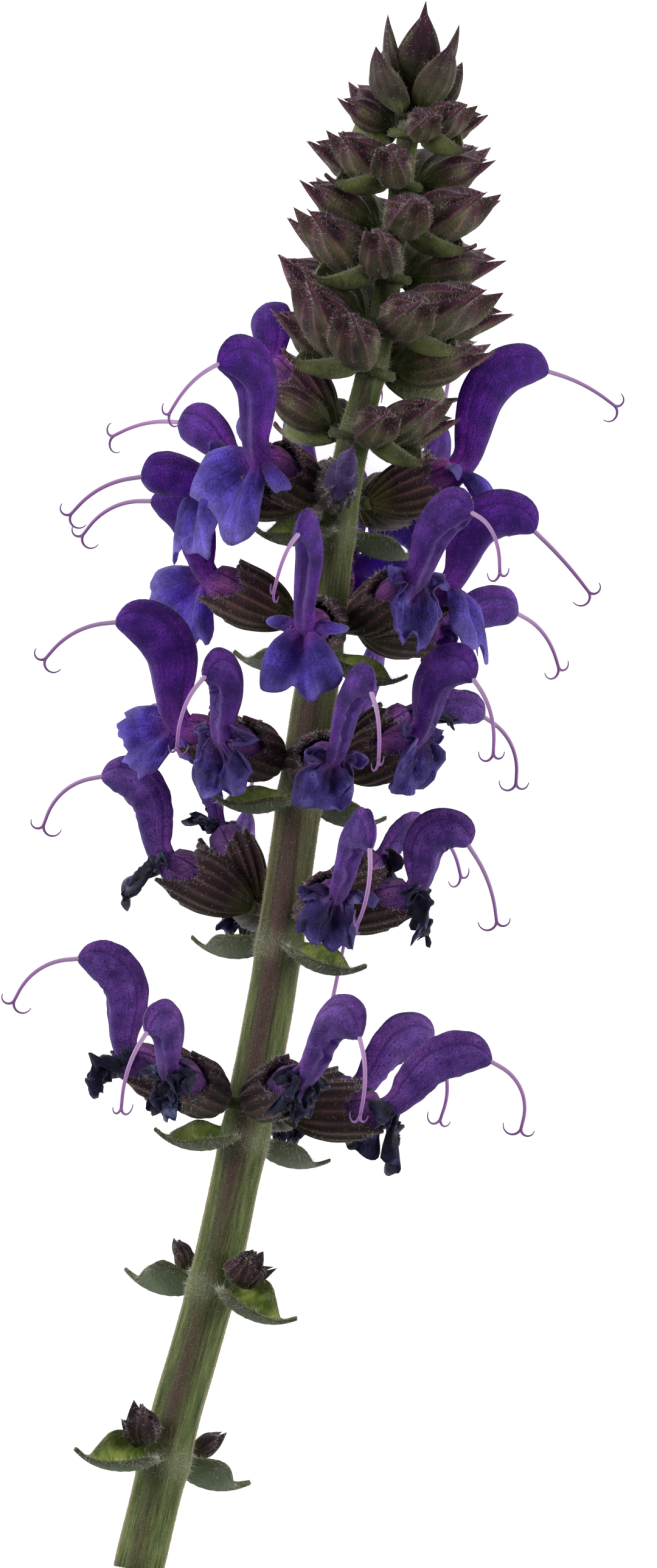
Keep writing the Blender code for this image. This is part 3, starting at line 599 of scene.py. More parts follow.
def add_hood(shell, bloom, seed):
    """The corolla's tube and its hood: a keeled sickle, folded shut along its lower side."""
    seat, start, mouth, hood = corolla_path(bloom, 40)
    shut, age = is_shut(bloom), age_of(bloom)
    eased = HOOD_ROUNDING * np.sin(np.linspace(0, np.pi / 2, 9))[1:]
    stations = np.concatenate([np.linspace(0, 1 - HOOD_ROUNDING, 30), 1 - HOOD_ROUNDING + eased])
    steps = np.linspace(0, 1, len(hood))
    hood = np.stack([np.interp(stations, steps, hood[:, axis]) for axis in range(3)], axis=1)
    share = np.linspace(0, 1, 12)
    path = np.concatenate([np.linspace(start, mouth, len(share))[:-1], hood])
    s = np.concatenate([share[:-1] - 1, stations])

    end = np.sqrt(np.clip(1 - (np.clip(s - 1 + HOOD_ROUNDING, 0, 1) / HOOD_ROUNDING) ** 2.4, 0, 1))
    if shut:
        end = end * np.clip(1.25 - 1.2 * np.clip(s, 0, 1) ** 1.6, 0, 1)
    deep = smooth(s, HOOD_STATIONS, HOOD_DEPTHS) * HOOD_DEPTH / 2 * bloom.size * end
    wide = smooth(s, HOOD_STATIONS, HOOD_WIDTHS) * HOOD_WIDTH / 2 * bloom.size * end
    swell = smooth(share[:-1], TUBE_STATIONS, TUBE_SWELL)
    deep[s < 0], wide[s < 0] = TUBE[0] * swell, TUBE[1] * swell
    _, ups, sides = frames(path, seat.side)
    path = path + moved(0.12 * deep * np.clip(s, 0, 1) * end, ups)

    s, deep, wide = s[:, None], deep[:, None], wide[:, None]
    path, ups, sides = path[:, None, :], ups[:, None, :], sides[:, None, :]
    turns = round_turns(HOOD_CORNERS)
    from_keel = np.minimum(turns, 2 * np.pi - turns)
    open_part = fade_in(s, 0, 0.2) * (not shut)
    high = np.cos(turns) + 0.5 * hump(turns, np.pi, 0.26) * open_part
    broad = np.sin(turns) * (1 - 0.34 * np.cos(turns) * open_part)
    wave, fine_wave = waves(seed, 5, 2.0), waves(seed + 7, 6, 7.0)
    loose = 0.1 if shut else age
    dent = 1 + (0.035 + 0.04 * loose) * wave(s * 3, np.sin(turns) * 2)
    dent = dent + (0.01 + 0.025 * loose) * fine_wave(s * 3, np.sin(turns) * 2)
    dent = dent - 0.055 * hump(from_keel, 1.07, 0.15) * open_part
    vein = 1 + 0.015 * np.cos(turns * 9) * open_part
    frill = waves(seed + 11, 5, 9.0)(s * 3, 0.0) * hump(turns, np.pi, 0.34)
    rings = path + moved(deep * high * dent * vein, ups)
    rings = rings + moved(wide * broad * dent * vein, sides)
    rings = rings + moved(0.3 * (0.25 + age) * frill * open_part, sides)

    edge = hump(turns, np.pi, 0.5) * open_part
    hair = (0.45 + 0.55 * np.clip(high, 0, 1)) * (s > 0)
    if bloom.lip is None:
        hair = hair * (5.0 if shut else 2.0)
    shell.tube(rings, (fade_in(s, -0.25, 1.25), np.cos(turns), edge, age, 0.0, hair, from_keel / np.pi))


def add_lip(shell, bloom, seed):
    """The three-lobed lip, with its ruffled margin, spread from the throat."""
    seat, start, mouth, _ = corolla_path(bloom)
    lip = LIPS[bloom.lip]
    age = age_of(bloom)
    faced = Seat(seat.middle[1], bloom.azimuth + bloom.facing)
    out, roll = faced.way(bloom.lip_heading), np.radians(bloom.roll)
    side = np.cos(roll) * faced.side + np.sin(roll) * np.cross(faced.side, out)
    up = np.cross(side, out)
    root = mouth + LIP_STEP * unit(mouth - start) - 0.2 * out
    shrunk = LIP_SHRINK * max(0.0, age - AGES["fresh"][1]) if bloom.lip == "fresh" else 0.0
    size = bloom.size * (1 - shrunk)

    rows, columns = LIP_GRID
    angles = np.linspace(lip.angles[0], lip.angles[-1], columns)
    reach = smooth(angles, lip.angles, lip.reaches)
    share = np.linspace(0.04, 1, rows)[:, None]
    wave, ruffle, crumple = waves(seed, 6, 2.4), waves(seed + 1, 4, 5.0), waves(seed + 2, 7, 4.5)
    fray = 1 + share**2 * lip.fray * ruffle(angles / 20, share * 0)
    round_off = share * (1.25 - 0.25 * share)
    radius = reach * round_off * size * fray + 0.35 * (1 - share * 0.5)
    beside = np.abs(angles)
    droop = lip.cup * radius**2 * np.where(beside > 55, 0.6, 0.8)
    valley = 1.15 * np.sin(np.pi * share**0.8) * hump(beside, 0, 19)
    flank = 0.6 * np.sin(np.pi * share) * hump(beside, 40, 15)
    ears = 0.9 * share * hump(beside, 92, 16)
    pleat = 0.14 * share**2 * np.cos(np.radians(angles * 16)) * (beside < 52)
    curl = lip.curl * share**4
    margin = (0.2 + 0.45 * age) * share**2 * wave(angles / 15, share * 2.2)
    margin = margin + (0.03 + 0.3 * age) * crumple(angles / 22, share * 2.5)
    fresh = (1 - 0.7 * age) * (flank + pleat - valley - curl)
    lift = -droop + size * (fresh + (1 - age) * ears + margin)

    turn = np.radians(angles)
    grid = root + moved(radius * np.cos(turn), out) + moved(radius * np.sin(turn), side)
    grid = grid + moved(lift, up)
    for k, way in enumerate((side, out)):
        folds = waves(seed + 20 + k, 7, 3.4)(angles / 24, share * 2.6)
        grid = grid + moved(0.5 * age * share * folds, way)
    along = np.clip(radius / 5.5, 0, 1)
    values = (along, angles / 95, share**4, age, 1.0, 0.15 * share, angles / 110)
    shell.sheet(grid, PETAL * (1.2 - 0.7 * share), values)


def add_style(shell, bloom):
    """The long style from under the hood's tip, with its two curled branches."""
    seat, _, _, hood = corolla_path(bloom)
    way = unit(hood[-1] - hood[-2])
    bends = fine(bloom.drop + bloom.bend * np.linspace(0.12, 1, 4), 18)
    line = follow(hood[-1], seat.way(bends), STYLE_LENGTH)
    line = keep_off_surface(np.concatenate([[hood[-1] - 1.2 * way], line]), SURFACE_CLEARANCE[0])
    last = unit(line[-1] - line[-2])
    up = unit(np.cross(seat.side, last))
    share = np.linspace(0, 1, len(line))
    rings = round_body(line, seat.side, STYLE_RADIUS * (1.15 - 0.35 * share), STYLE_CORNERS)
    shell.tube(rings, (share[:, None] * 0.8,))
    for turn, length in ((1, 0.85), (-1, 1.15)):
        curl = np.radians(np.linspace(12, 175, 12)) * turn
        ways = moved(np.cos(curl), last) + moved(np.sin(curl), up)
        branch = follow(line[-1] - 0.1 * last, ways, FORK_LENGTH * length)
        branch = keep_off_surface(branch, SURFACE_CLEARANCE[1])
        taper = np.linspace(0.78, 0.22, len(branch))
        tint = np.linspace(0.8, 1.0, len(branch))[:, None]
        shell.tube(round_body(branch, seat.side, STYLE_RADIUS * taper, STYLE_CORNERS), (tint,))


def calyx_edge(turns):
    """How far the mouth's rim stands out at each angle from its top: three small teeth and two long."""
    degrees = from_top(turns)
    upper = 0.6 * tooth(degrees, 0, 20) + 0.5 * tooth(degrees, 34, 14)
    lower = 1.9 * tooth(degrees, 135, 32) ** 1.3
    sinus = -0.75 * hump(degrees, 80, 17) - 0.3 * hump(degrees, 180, 10)
    return upper + lower + sinus


def add_calyx(shell, bloom, seed):
    """A two-lipped, ribbed bell with pointed teeth, open at its mouth."""
    seat, foot, way = calyx_root(bloom)
    up, side = np.cross(seat.side, way), seat.side
    deep, wide = np.array(CALYX_MOUTH) * (0.8 + 0.2 * bloom.size)
    snug = SNUG * is_shut(bloom)
    turns = round_turns(CALYX_RIBS * 5)
    ribs = np.abs(np.cos(turns * CALYX_RIBS / 2)) ** 3
    rim = calyx_edge(turns)
    wave = waves(seed, 5, 1.5)

    def stretched(station):
        """How much of its teeth the calyx has at a station."""
        return max(0.0, (station - 0.55) / 0.45) ** 1.5

    def ring(station, inset, stretch, rib):
        flare = 1 + 0.08 * stretch
        tall = smooth(station, CALYX_STATIONS, CALYX_DEPTHS) * (1 - snug * station**2)
        across = smooth(station, CALYX_STATIONS, CALYX_WIDTHS) * (1 - snug * station**2)
        bump = 0.06 * wave(station * 3, turns)
        high = (deep * tall * flare - inset + rib * ribs + bump) * np.cos(turns)
        broad = (wide * across * flare - inset + rib * ribs + bump) * np.sin(turns)
        reach = station * CALYX_LENGTH + stretch * rim
        return foot + moved(high, up) + moved(broad, side) + moved(reach, way)

    outer, inner = np.linspace(0.02, 1, 20), np.linspace(1, 0.5, 6)
    rings = [ring(station, 0.0, stretched(station), 0.11 * min(1.0, station * 4)) for station in outer]
    rings.append(ring(1.0, CALYX_WALL * 0.5, 1.03, 0.05))
    rings += [ring(station, CALYX_WALL, stretched(station), 0.0) for station in inner]
    along = np.array([*outer, 1.0, *inner])[:, None]
    margin = [0.55 * stretched(station) ** 2 for station in outer]
    edge = np.array([*margin, 1.0, *[0.3] * len(inner)])[:, None]
    outside = 1.0 * (np.arange(len(rings)) <= len(outer))[:, None]
    hair = outside * (0.35 + 0.65 * ribs) * (0.5 + edge)
    # The last value marks the calyx's inner wall, which its finish darkens as painted shade
    shell.tube(rings, (along, ribs, edge, age_of(bloom), 0.0, hair, 1 - outside))


def add_pad(shell, whorl, azimuths):
    """The thickened foot of a cyme."""
    y = calyx_height(whorl)
    out = beside_stem(y, PAD_HALF)
    path = [Seat(y, turn).at(out, 0.0) for turn in np.linspace(min(azimuths) - 8, max(azimuths) + 8, 12)]
    rings = round_body(path, Seat(y, 0).along, PAD_HALF * 0.95, 10)
    shell.tube(rings, (0.1, 0.5, 0.0, 0.4, 1.0, 0.6))


def add_bract(shell, seat, start, headings, sizes, seed, grid_size, roll=0.0, leaf=0.0):
    """A boat-shaped bract with a midrib, side veins, raised wavy margins and a spiny tip."""
    length, half_width, cup, spine = sizes
    rows, columns = grid_size
    turn = np.radians(roll) * np.sign(seat.side[2])
    side = np.cos(turn) * seat.side - np.sin(turn) * seat.along
    path = follow(seat.at(*start), seat.way(np.linspace(*headings, rows - 1)), length + spine)
    station = np.linspace(0, 1, rows)
    ups = np.cross(side, seat.way(np.interp(station, (0, 1), headings)))
    ups /= np.linalg.norm(ups, axis=1, keepdims=True)

    station = station[:, None]
    across = np.linspace(-1, 1, columns)
    beside = np.abs(across)
    widths = np.maximum(smooth(station, BRACT_STATIONS, BRACT_WIDTHS), 0.025) * half_width
    wave = waves(seed, 4, 3.0)
    rib = hump(across, 0, 0.1)
    veins = np.abs(np.sin((station * 9 - beside * 2.4) * np.pi)) ** 8
    lift = cup * beside**1.6 * widths / half_width
    lift = lift - 0.1 * rib - 0.035 * veins * (widths / half_width)
    lift = lift + 0.12 * beside**3 * wave(station * 3, np.sign(across))
    grid = path[:, None, :] + moved(widths * across, side) + moved(lift, ups[:, None, :])
    edge = np.maximum(beside**6, fade_in(station, 0.68, 0.15))
    tint = np.maximum(rib, 0.6 * veins)
    shell.sheet(grid, LEAF * (1.2 - 0.5 * station), (station, tint, edge, 0.0, leaf, 0.35 + 0.65 * edge))


def bud_teeth(turns):
    """How far a closed calyx's rim stands out at each angle: a broad tooth on top and two sharp ones."""
    degrees = from_top(turns)
    upper = 0.5 * tooth(degrees, 0, 30) + 0.3 * tooth(degrees, 52, 18)
    return upper + 0.9 * tooth(degrees, 138, 24) - 0.55 * hump(degrees, 90, 18)


def add_bud(shell, seat, foot, rise, sizes, seed, age=0.0, lipped=True):
    """A closed calyx: a ribbed bell whose two toothed lips meet, or else a pointed scale."""
    length, half_depth, half_width = sizes
    arching, seam_width, seam_tint, rib_tint = CALYX_LOOK if lipped else SCALE_LOOK
    way = seat.way(rise)
    up = np.cross(seat.side, way)
    turns = round_turns(BUD_RIBS * 4)
    t = np.linspace(0.015, 1, BUD_RINGS)[:, None]
    if lipped:
        deep, wide = smooth(t, BUD_STATIONS, BUD_DEPTHS), smooth(t, BUD_STATIONS, BUD_WIDTHS)
    else:
        deep = wide = smooth(t, SCALE_STATIONS, SCALE_SHARES)
    ridges = np.abs(np.cos(turns * BUD_RIBS / 2)) ** 3
    open_part = fade_in(t, 0.35, 0.3)
    relief = 0.07 * ridges - 0.16 * hump(np.cos(turns), 0, 0.16) * open_part * lipped
    relief = relief * np.clip(deep, 0, 1) * np.clip(half_depth, 0.5, 1.2)
    bumps = 1 + (0.08 + 0.2 * age) * waves(seed, 4, 1.6)(t * 3, np.sin(turns) * 2)
    torn = 0.35 * age * waves(seed + 3, 6, 3.5)(turns, 0.0)
    high = (half_depth * deep * bumps + relief) * np.cos(turns)
    broad = (half_width * wide * bumps + relief) * np.sin(turns)
    reach = t * length * (1.0 - 0.08 * lipped)
    if lipped:
        reach = reach + t**6 * (bud_teeth(turns) + torn) * length * 0.34
    rings = foot + moved(reach, way) + moved(high + arching * length * t**3, up)
    rings = rings + moved(broad, seat.side)
    near = hump(np.cos(turns), 0, seam_width) * open_part
    edge = np.maximum(near * seam_tint, fade_in(t, 0.84, 0.14) * 0.8)
    hair = 0.3 + 0.7 * np.maximum(ridges, edge)
    shell.tube(rings, (t, ridges * rib_tint, edge, age, 0.0, hair))


def add_stem(shell):
    """The square stem, with hollowed faces, fine ridges and a swelling at each whorl."""
    count, corners = STEM_GRID
    turns = np.arange(corners) * 360.0 / corners
    turn = np.radians(turns)
    square = np.cos(np.radians(4 * turns))
    ridge = np.cos(np.radians(28 * turns))
    streak = hump((turns + STREAK[0] + 90) % 180 - 90, 0, STREAK[1])
    wave = waves(SEEDS["stem"], 6, 3.0)
    rings, edges, stains = [], [], []
    for y in np.linspace(STEM_ROUTE[0][1], STEM_ROUTE[-1][1], count):
        seat = Seat(y, 0)
        near = min(abs(y - height - 0.4) for height in WHORL_HEIGHTS)
        swell = 0.1 * hump(near, 0, 0.9)
        radius = stem_half(y) * (STEM_EDGE[0] + STEM_EDGE[1] * square + 0.012 * ridge)
        radius = radius + swell + 0.02 * wave(y * 0.35, turns / 40)
        ring = moved(np.cos(turn) * radius, seat.out) - moved(np.sin(turn) * radius, seat.side)
        rings.append(seat.middle + ring)
        edges.append(swell / 0.1)
        stains.append(np.clip(streak * (0.8 + 0.4 * wave(y * 0.12, 0.0)), 0, 1))
    edge = np.array(edges)[:, None]
    # pale: a painted highlight along the stem's two side corners, at its left and right edges
    pale = fade_in(np.abs(np.sin(turn)), 0.945, 0.05)
    along = np.linspace(0, 1, count)[:, None]
    hair = 0.7 + 0.3 * pale + 0.5 * edge
    shell.tube(rings, (along, pale, edge, np.array(stains), 1.0, hair, np.abs(turns / 180 - 1)))


def add_collar(shell, y):
    """The swollen ring at a node, round the stem and clear of it."""
    wall, height = COLLAR
    sides, count = COLLAR_GRID
    middle = beside_stem(y, wall / 2)
    wave = waves(int(10 * y), 5, 1.5)
    points = []
    for angle in round_turns(sides):
        out = middle + wall / 2 * np.cos(angle)
        for turn in np.arange(count) * 360.0 / count:
            swell = 1 + 0.16 * wave(np.cos(np.radians(turn)) * 2, np.sin(np.radians(turn)) * 2)
            points.append(Seat(y, turn).at(out, 0.3 * height * swell * np.sin(angle)))
    faces = []
    for i in range(sides):
        for j in range(count):
            a, b, k = i * count, (i + 1) % sides * count, (j + 1) % count
            faces.append((a + j, b + j, b + k, a + k))
    shell.add(points, faces, (0.3, 0.2, 0.12, 1.0, 0.9, 1.2))


def shown(sockets, name):
    """The socket in use, where a node holds several of one name."""
    return next(socket for socket in sockets if socket.name == name and socket.enabled)


class Nodes:
    """A tree of nodes under construction."""

    prefix = ""

    def __init__(self, tree):
        self.tree = tree

    def feed(self, socket, value):
        """Sets an input to a value or to another node's output."""
        if isinstance(value, bpy.types.NodeSocket):
            self.tree.links.new(value, socket)
        else:
            socket.default_value = value

    def node(self, kind, settings=None, **inputs):
        """A node with its settings, and its inputs by name, each a value or another node's output."""
        made = self.tree.nodes.new(self.prefix + kind)
        for name, value in (settings or {}).items():
            setattr(made, name, value)
        for name, value in inputs.items():
            self.feed(shown(made.inputs, name.replace("_", " ")), value)
        return made

    def pair(self, kind, a, b, **settings):
        """What a node makes of its first two inputs."""
        made = self.node(kind, settings)
        self.feed(made.inputs[0], a)
        self.feed(made.inputs[1], b)
        return made.outputs[0]


def opaque(colour):
    """A grey, or red, green and blue, as a whole colour."""
    return (colour, colour, colour, 1.0) if isinstance(colour, float) else (*colour, 1.0)


class Finish(Nodes):
    """A material, or a group of shader nodes, under construction."""

    prefix = "ShaderNode"

    def __init__(self, name, group_outputs=None, group_inputs=()):
        if group_outputs is None:
            self.material = bpy.data.materials.new(name)
            self.material.use_nodes = True
            super().__init__(self.material.node_tree)
            self.tree.nodes.clear()
            return
        super().__init__(bpy.data.node_groups.new(name, "ShaderNodeTree"))
        for title, value in group_inputs:
            made = self.tree.interface.new_socket(title, in_out="INPUT", socket_type="NodeSocketFloat")
            made.default_value = value
        for title in group_outputs:
            self.tree.interface.new_socket(title, in_out="OUTPUT", socket_type="NodeSocketFloat")
        self.given = self.tree.nodes.new("NodeGroupInput").outputs
        self.exit = self.tree.nodes.new("NodeGroupOutput")

    def values(self, *names):
        """What a piece's own attributes hold."""
        return [self.node("Attribute", {"attribute_name": name}).outputs["Fac"] for name in names]

    def math(self, operation, a, b, clamp=False):
        return self.pair("Math", a, b, operation=operation, use_clamp=clamp)

    def times(self, a, b, clamp=False):
        return self.math("MULTIPLY", a, b, clamp)

    def plus(self, a, b, clamp=False):
        return self.math("ADD", a, b, clamp)

    def minus(self, a, b, clamp=False):
        return self.math("SUBTRACT", a, b, clamp)

    def mix(self, share, a, b, blend="MIX"):
        """From a to b by share. Each is a colour, or another node's output."""
        a, b = (opaque(colour) if isinstance(colour, tuple) else colour for colour in (a, b))
        made = self.node("Mix", {"data_type": "RGBA", "blend_type": blend}, Factor=share, A=a, B=b)
        return shown(made.outputs, "Result")

    def ramp(self, share, *stops):
        """A colour that changes with share. Each stop is a place and a colour or grey."""
        made = self.node("ValToRGB")
        elements = made.color_ramp.elements
        while len(elements) < len(stops):
            elements.new(0.5)
        for element, (place, colour) in zip(elements, stops):
            element.position = place
            element.color = opaque(colour)
        self.feed(made.inputs["Fac"], share)
        return made.outputs["Color"]

    def shade(self, colour, share, *stops):
        """The colour, made darker or lighter by what the stops give for share."""
        return self.mix(1.0, colour, self.ramp(share, *stops), "MULTIPLY")

    def group(self, tree, **inputs):
        """The outputs of a group of nodes, given its inputs by name."""
        made = self.tree.nodes.new("ShaderNodeGroup")
        made.node_tree = tree
        for name, value in inputs.items():
            self.feed(made.inputs[name], value)
        return made.outputs

    def speckle(self, specks, colour, scale, size, share, paint):
        """The colour with scattered specks of a paint."""
        spots = self.group(specks, Scale=scale, Size=size)[0]
        return self.mix(self.times(spots, share), colour, paint)

    def facing_up(self):
        """How far the surface faces up the spike, from -1 to 1."""
        normal = self.node("NewGeometry").outputs["Normal"]
        return self.node("SeparateXYZ", Vector=normal).outputs["Y"]

    def surface(self, colour, roughness, bump=None, thin=0.0, through=None, sheen=0.0, gloss=0.3):
        """The shader itself, with light let through where the tissue is thin."""
        shader = self.node("BsdfPrincipled", Base_Color=colour, Roughness=roughness)
        shader.inputs["Specular IOR Level"].default_value = gloss
        shader.inputs["Sheen Weight"].default_value = sheen
        shader.inputs["Sheen Roughness"].default_value = 0.5
        if bump is not None:
            relief = self.node("Bump", Strength=0.8, Distance=BUMP, Height=bump)
            self.feed(shader.inputs["Normal"], relief.outputs[0])
        shown = shader.outputs[0]
        if thin:
            back = self.node("BsdfTranslucent", Color=through if through is not None else colour)
            both = self.node("MixShader")
            self.feed(both.inputs[0], thin)
            self.feed(both.inputs[1], shown)
            self.feed(both.inputs[2], back.outputs[0])
            shown = both.outputs[0]
        self.feed(self.node("OutputMaterial").inputs["Surface"], shown)
        return self.material


def mottle_group():
    """Uneven tissue: a broad and a fine noise in the piece's own place."""
    group = Finish("mottle", ("Patches", "Grain"), (("Broad", 400.0), ("Fine", 4000.0)))
    place = group.node("TexCoord").outputs["Object"]
    for title, scale, detail in (("Patches", "Broad", 3.0), ("Grain", "Fine", 2.0)):
        size = group.given[scale]
        noise = group.node("TexNoise", Vector=place, Detail=detail, Roughness=0.55, Scale=size)
        group.feed(group.exit.inputs[title], noise.outputs[0])
    return group.tree


def speck_group():
    """Scattered specks, such as glands or dust: 1 at the middle of each, 0 between."""
    group = Finish("specks", ("Specks",), (("Scale", 3000.0), ("Size", 0.2)))
    place = group.node("TexCoord").outputs["Object"]
    cells = group.node("TexVoronoi", Vector=place, Scale=group.given["Scale"])
    near = group.minus(group.given["Size"], cells.outputs["Distance"])
    group.feed(group.exit.inputs["Specks"], group.times(near, 12.0, clamp=True))
    return group.tree


def weave_group():
    """Streaks that run along a piece, from its own values along and round it."""
    inputs = (("Along", 0.0), ("Turn", 0.0), ("Rows", 20.0), ("Length", 10.0))
    group = Finish("streaks", ("Streaks",), inputs)
    given = group.given
    across = group.times(given["Turn"], given["Rows"])
    place = group.node("CombineXYZ", X=group.times(given["Along"], given["Length"]), Y=across)
    noise = group.node("TexNoise", Vector=place.outputs[0], Scale=1.0, Detail=3.0, Roughness=0.6)
    group.feed(group.exit.inputs["Streaks"], noise.outputs[0])
    return group.tree


def hood_colour(f, along, age):
    """Magenta in the throat, violet above, greyer with age."""
    hood = f.ramp(
        along,
        (0.0, (0.36, 0.11, 0.38)),
        (0.22, (0.26, 0.05, 0.50)),
        (0.5, (0.16, 0.03, 0.48)),
        (1.0, (0.105, 0.026, 0.38)),
    )
    return f.mix(f.times(age, 0.6), hood, (0.24, 0.15, 0.46))


def lip_colour(f, along):
    """Magenta at its root, blue-violet over the lobes, paler at the margin."""
    return f.ramp(
        along,
        (0.0, (0.36, 0.05, 0.32)),
        (0.14, (0.20, 0.05, 0.36)),
        (0.35, (0.10, 0.055, 0.47)),
        (0.8, (0.125, 0.095, 0.68)),
        (1.0, (0.24, 0.20, 0.88)),
    )


def petal_finish(mottle, specks, weave):
    """Violet hoods and blue-violet lips, veined and mottled, which wither to blue-black. The hoods carry
    painted shade on their tops, undersides, keels and creases, all petals carry scattered painted glints,
    and withered lips carry painted glossy highlights.
    """
    f = Finish("petal_violet")
    along, edge, age, lip, turn = f.values("along", "edge", "age", "lip", "turn")
    noise = f.group(mottle, Broad=700.0, Fine=9000.0)
    patches, grain = noise["Patches"], noise["Grain"]
    streaks = f.group(weave, Along=along, Turn=turn, Rows=26.0, Length=2.2)["Streaks"]
    colour = f.mix(lip, hood_colour(f, along, age), lip_colour(f, along))
    veined = f.shade(colour, streaks, (0.35, (0.5, 0.45, 0.5)), (0.6, (1.2, 1.15, 1.15)))
    colour = f.mix(0.65, colour, veined)
    colour = f.shade(colour, patches, (0.34, (0.36, 0.36, 0.44)), (0.68, (1.4, 1.25, 1.3)))
    colour = f.shade(colour, grain, (0.38, (0.55, 0.55, 0.6)), (0.6, (1.2, 1.2, 1.15)))
    # Withered lips are blue-black; the pale blue top stop is a painted glossy highlight
    withered = f.ramp(
        patches,
        (0.38, (0.010, 0.010, 0.022)),
        (0.58, (0.026, 0.026, 0.085)),
        (0.72, (0.20, 0.23, 0.42)),
    )
    faded = f.times(age, lip)
    colour = f.mix(faded, colour, withered)
    shut = f.times(f.minus(age, 1.05), 3.2, clamp=True)
    colour = f.mix(shut, colour, (0.055, 0.045, 0.10))
    on_hood = f.minus(1.0, lip)
    # Painted shade on the hoods: darker along the keel on top and over the underside by the slit, with a
    # lighter, pinker band between the keel and the crease
    shaded = f.shade(
        colour,
        turn,
        (0.0, (0.62, 0.5, 0.55)),
        (0.28, (1.2, 0.95, 0.95)),
        (0.38, (1.0, 1.0, 0.92)),
        (0.8, (0.5, 0.5, 0.56)),
        (1.0, (0.62, 0.55, 0.62)),
    )
    colour = f.mix(on_hood, colour, shaded)
    # Painted shadow: a dark line along the hood's keel and along the crease where it folds
    keel_and_crease_shadow = f.ramp(turn, (0.0, 0.7), (0.06, 0.0), (0.30, 0.0), (0.335, 0.85), (0.37, 0.0))
    colour = f.mix(f.times(keel_and_crease_shadow, on_hood), colour, (0.022, 0.010, 0.07))
    colour = f.speckle(specks, colour, 2400.0, 0.23, 0.75, (0.018, 0.006, 0.045))
    # Pale specks over the petals: painted glints of light
    colour = f.speckle(specks, colour, 1500.0, 0.07, 0.4, (0.5, 0.42, 0.6))
    pale = f.times(edge, f.minus(0.4, f.times(faded, 0.4)), clamp=True)
    pale = f.times(pale, f.plus(patches, 0.5), clamp=True)
    colour = f.mix(pale, colour, (0.36, 0.27, 0.60))
    glow = f.minus(0.5, f.times(faded, 0.42))
    through = f.mix(glow, colour, (0.46, 0.08, 0.85))
    roughness = f.minus(f.plus(f.times(grain, 0.25), 0.42), f.times(faded, 0.24))
    bump = f.plus(f.plus(grain, f.times(patches, 2.0)), f.times(streaks, 0.8))
    return f.surface(colour, roughness, bump, thin=0.36, through=through, sheen=0.12, gloss=0.16)


def calyx_finish(name, mottle, specks, dark, rib, foot, margin, tip, leaf, reach, under):
    """Dark ribbed calyx tissue, green at its foot, with a paler margin and golden glands, and painted shade
    over its inner wall.
    """
    f = Finish(name)
    along, ribs, edge, age, bract, inside = f.values("along", "across", "edge", "age", "lip", "turn")
    noise = f.group(mottle, Broad=600.0, Fine=7000.0)
    patches, grain = noise["Patches"], noise["Grain"]
    colour = f.mix(f.ramp(ribs, (0.0, 0.0), (0.55, 0.08), (1.0, 1.0)), dark, rib)
    base = f.minus(1.0, f.times(along, reach), clamp=True)
    base = f.math("MAXIMUM", base, f.times(f.facing_up(), -under, clamp=True))
    base = f.times(base, f.plus(patches, 0.5), clamp=True)
    colour = f.mix(base, colour, foot)
    green = f.times(bract, f.minus(1.0, f.times(edge, 0.9)), clamp=True)
    colour = f.mix(green, colour, leaf)
    colour = f.shade(colour, patches, (0.3, 0.5), (0.72, (1.6, 1.45, 1.4)))
    rim = f.times(edge, f.plus(grain, 0.1), clamp=True)
    far = f.times(f.minus(along, 0.72), 6.0, clamp=True)
    colour = f.mix(f.times(rim, 0.9), colour, f.mix(far, margin, tip))
    colour = f.mix(f.times(age, 0.4), colour, (0.016, 0.010, 0.014))
    # Painted shade: the calyx's inner wall turns a plain dark purple
    colour = f.mix(f.times(inside, 0.8), colour, (0.05, 0.022, 0.045))
    colour = f.speckle(specks, colour, 2400.0, 0.12, 0.6, (0.36, 0.24, 0.06))
    bump = f.plus(grain, f.times(ribs, 0.8))
    roughness = f.plus(f.times(grain, 0.3), 0.42)
    return f.surface(colour, roughness, bump, thin=0.1, sheen=0.08, gloss=0.12)


def stem_colour(f, strands, fibres):
    """Streaked green with a brown stripe, a painted highlight along its two side corners and hairy pale
    nodes.
    """
    along, across, edge, stain = f.values("along", "across", "edge", "age")
    green = f.ramp(
        strands,
        (0.34, (0.040, 0.062, 0.016)),
        (0.5, (0.12, 0.165, 0.042)),
        (0.68, (0.25, 0.29, 0.10)),
    )
    middle = f.ramp(along, (0.0, 0.0), (0.38, 0.12), (0.48, 0.5), (0.6, 0.5), (0.72, 0.12))
    brown = f.times(stain, f.plus(strands, 0.5), clamp=True)
    brown = f.plus(brown, middle, clamp=True)
    colour = f.mix(brown, green, (0.095, 0.048, 0.046))
    border = f.ramp(stain, (0.22, 0.0), (0.4, 0.9), (0.58, 0.0))
    flowered = f.ramp(along, (0.05, 0.15), (0.28, 0.8), (0.64, 0.8), (0.74, 0.15))
    colour = f.mix(f.times(border, flowered), colour, (0.022, 0.016, 0.010))
    # Painted highlight along the stem's two side corners
    pale = f.times(across, f.plus(strands, 0.25), clamp=True)
    colour = f.mix(pale, colour, (0.40, 0.31, 0.18))
    colour = f.shade(colour, fibres, (0.35, (0.75, 0.75, 0.72)), (0.62, 1.25))
    return f.mix(f.times(edge, 0.5), colour, (0.26, 0.27, 0.16))


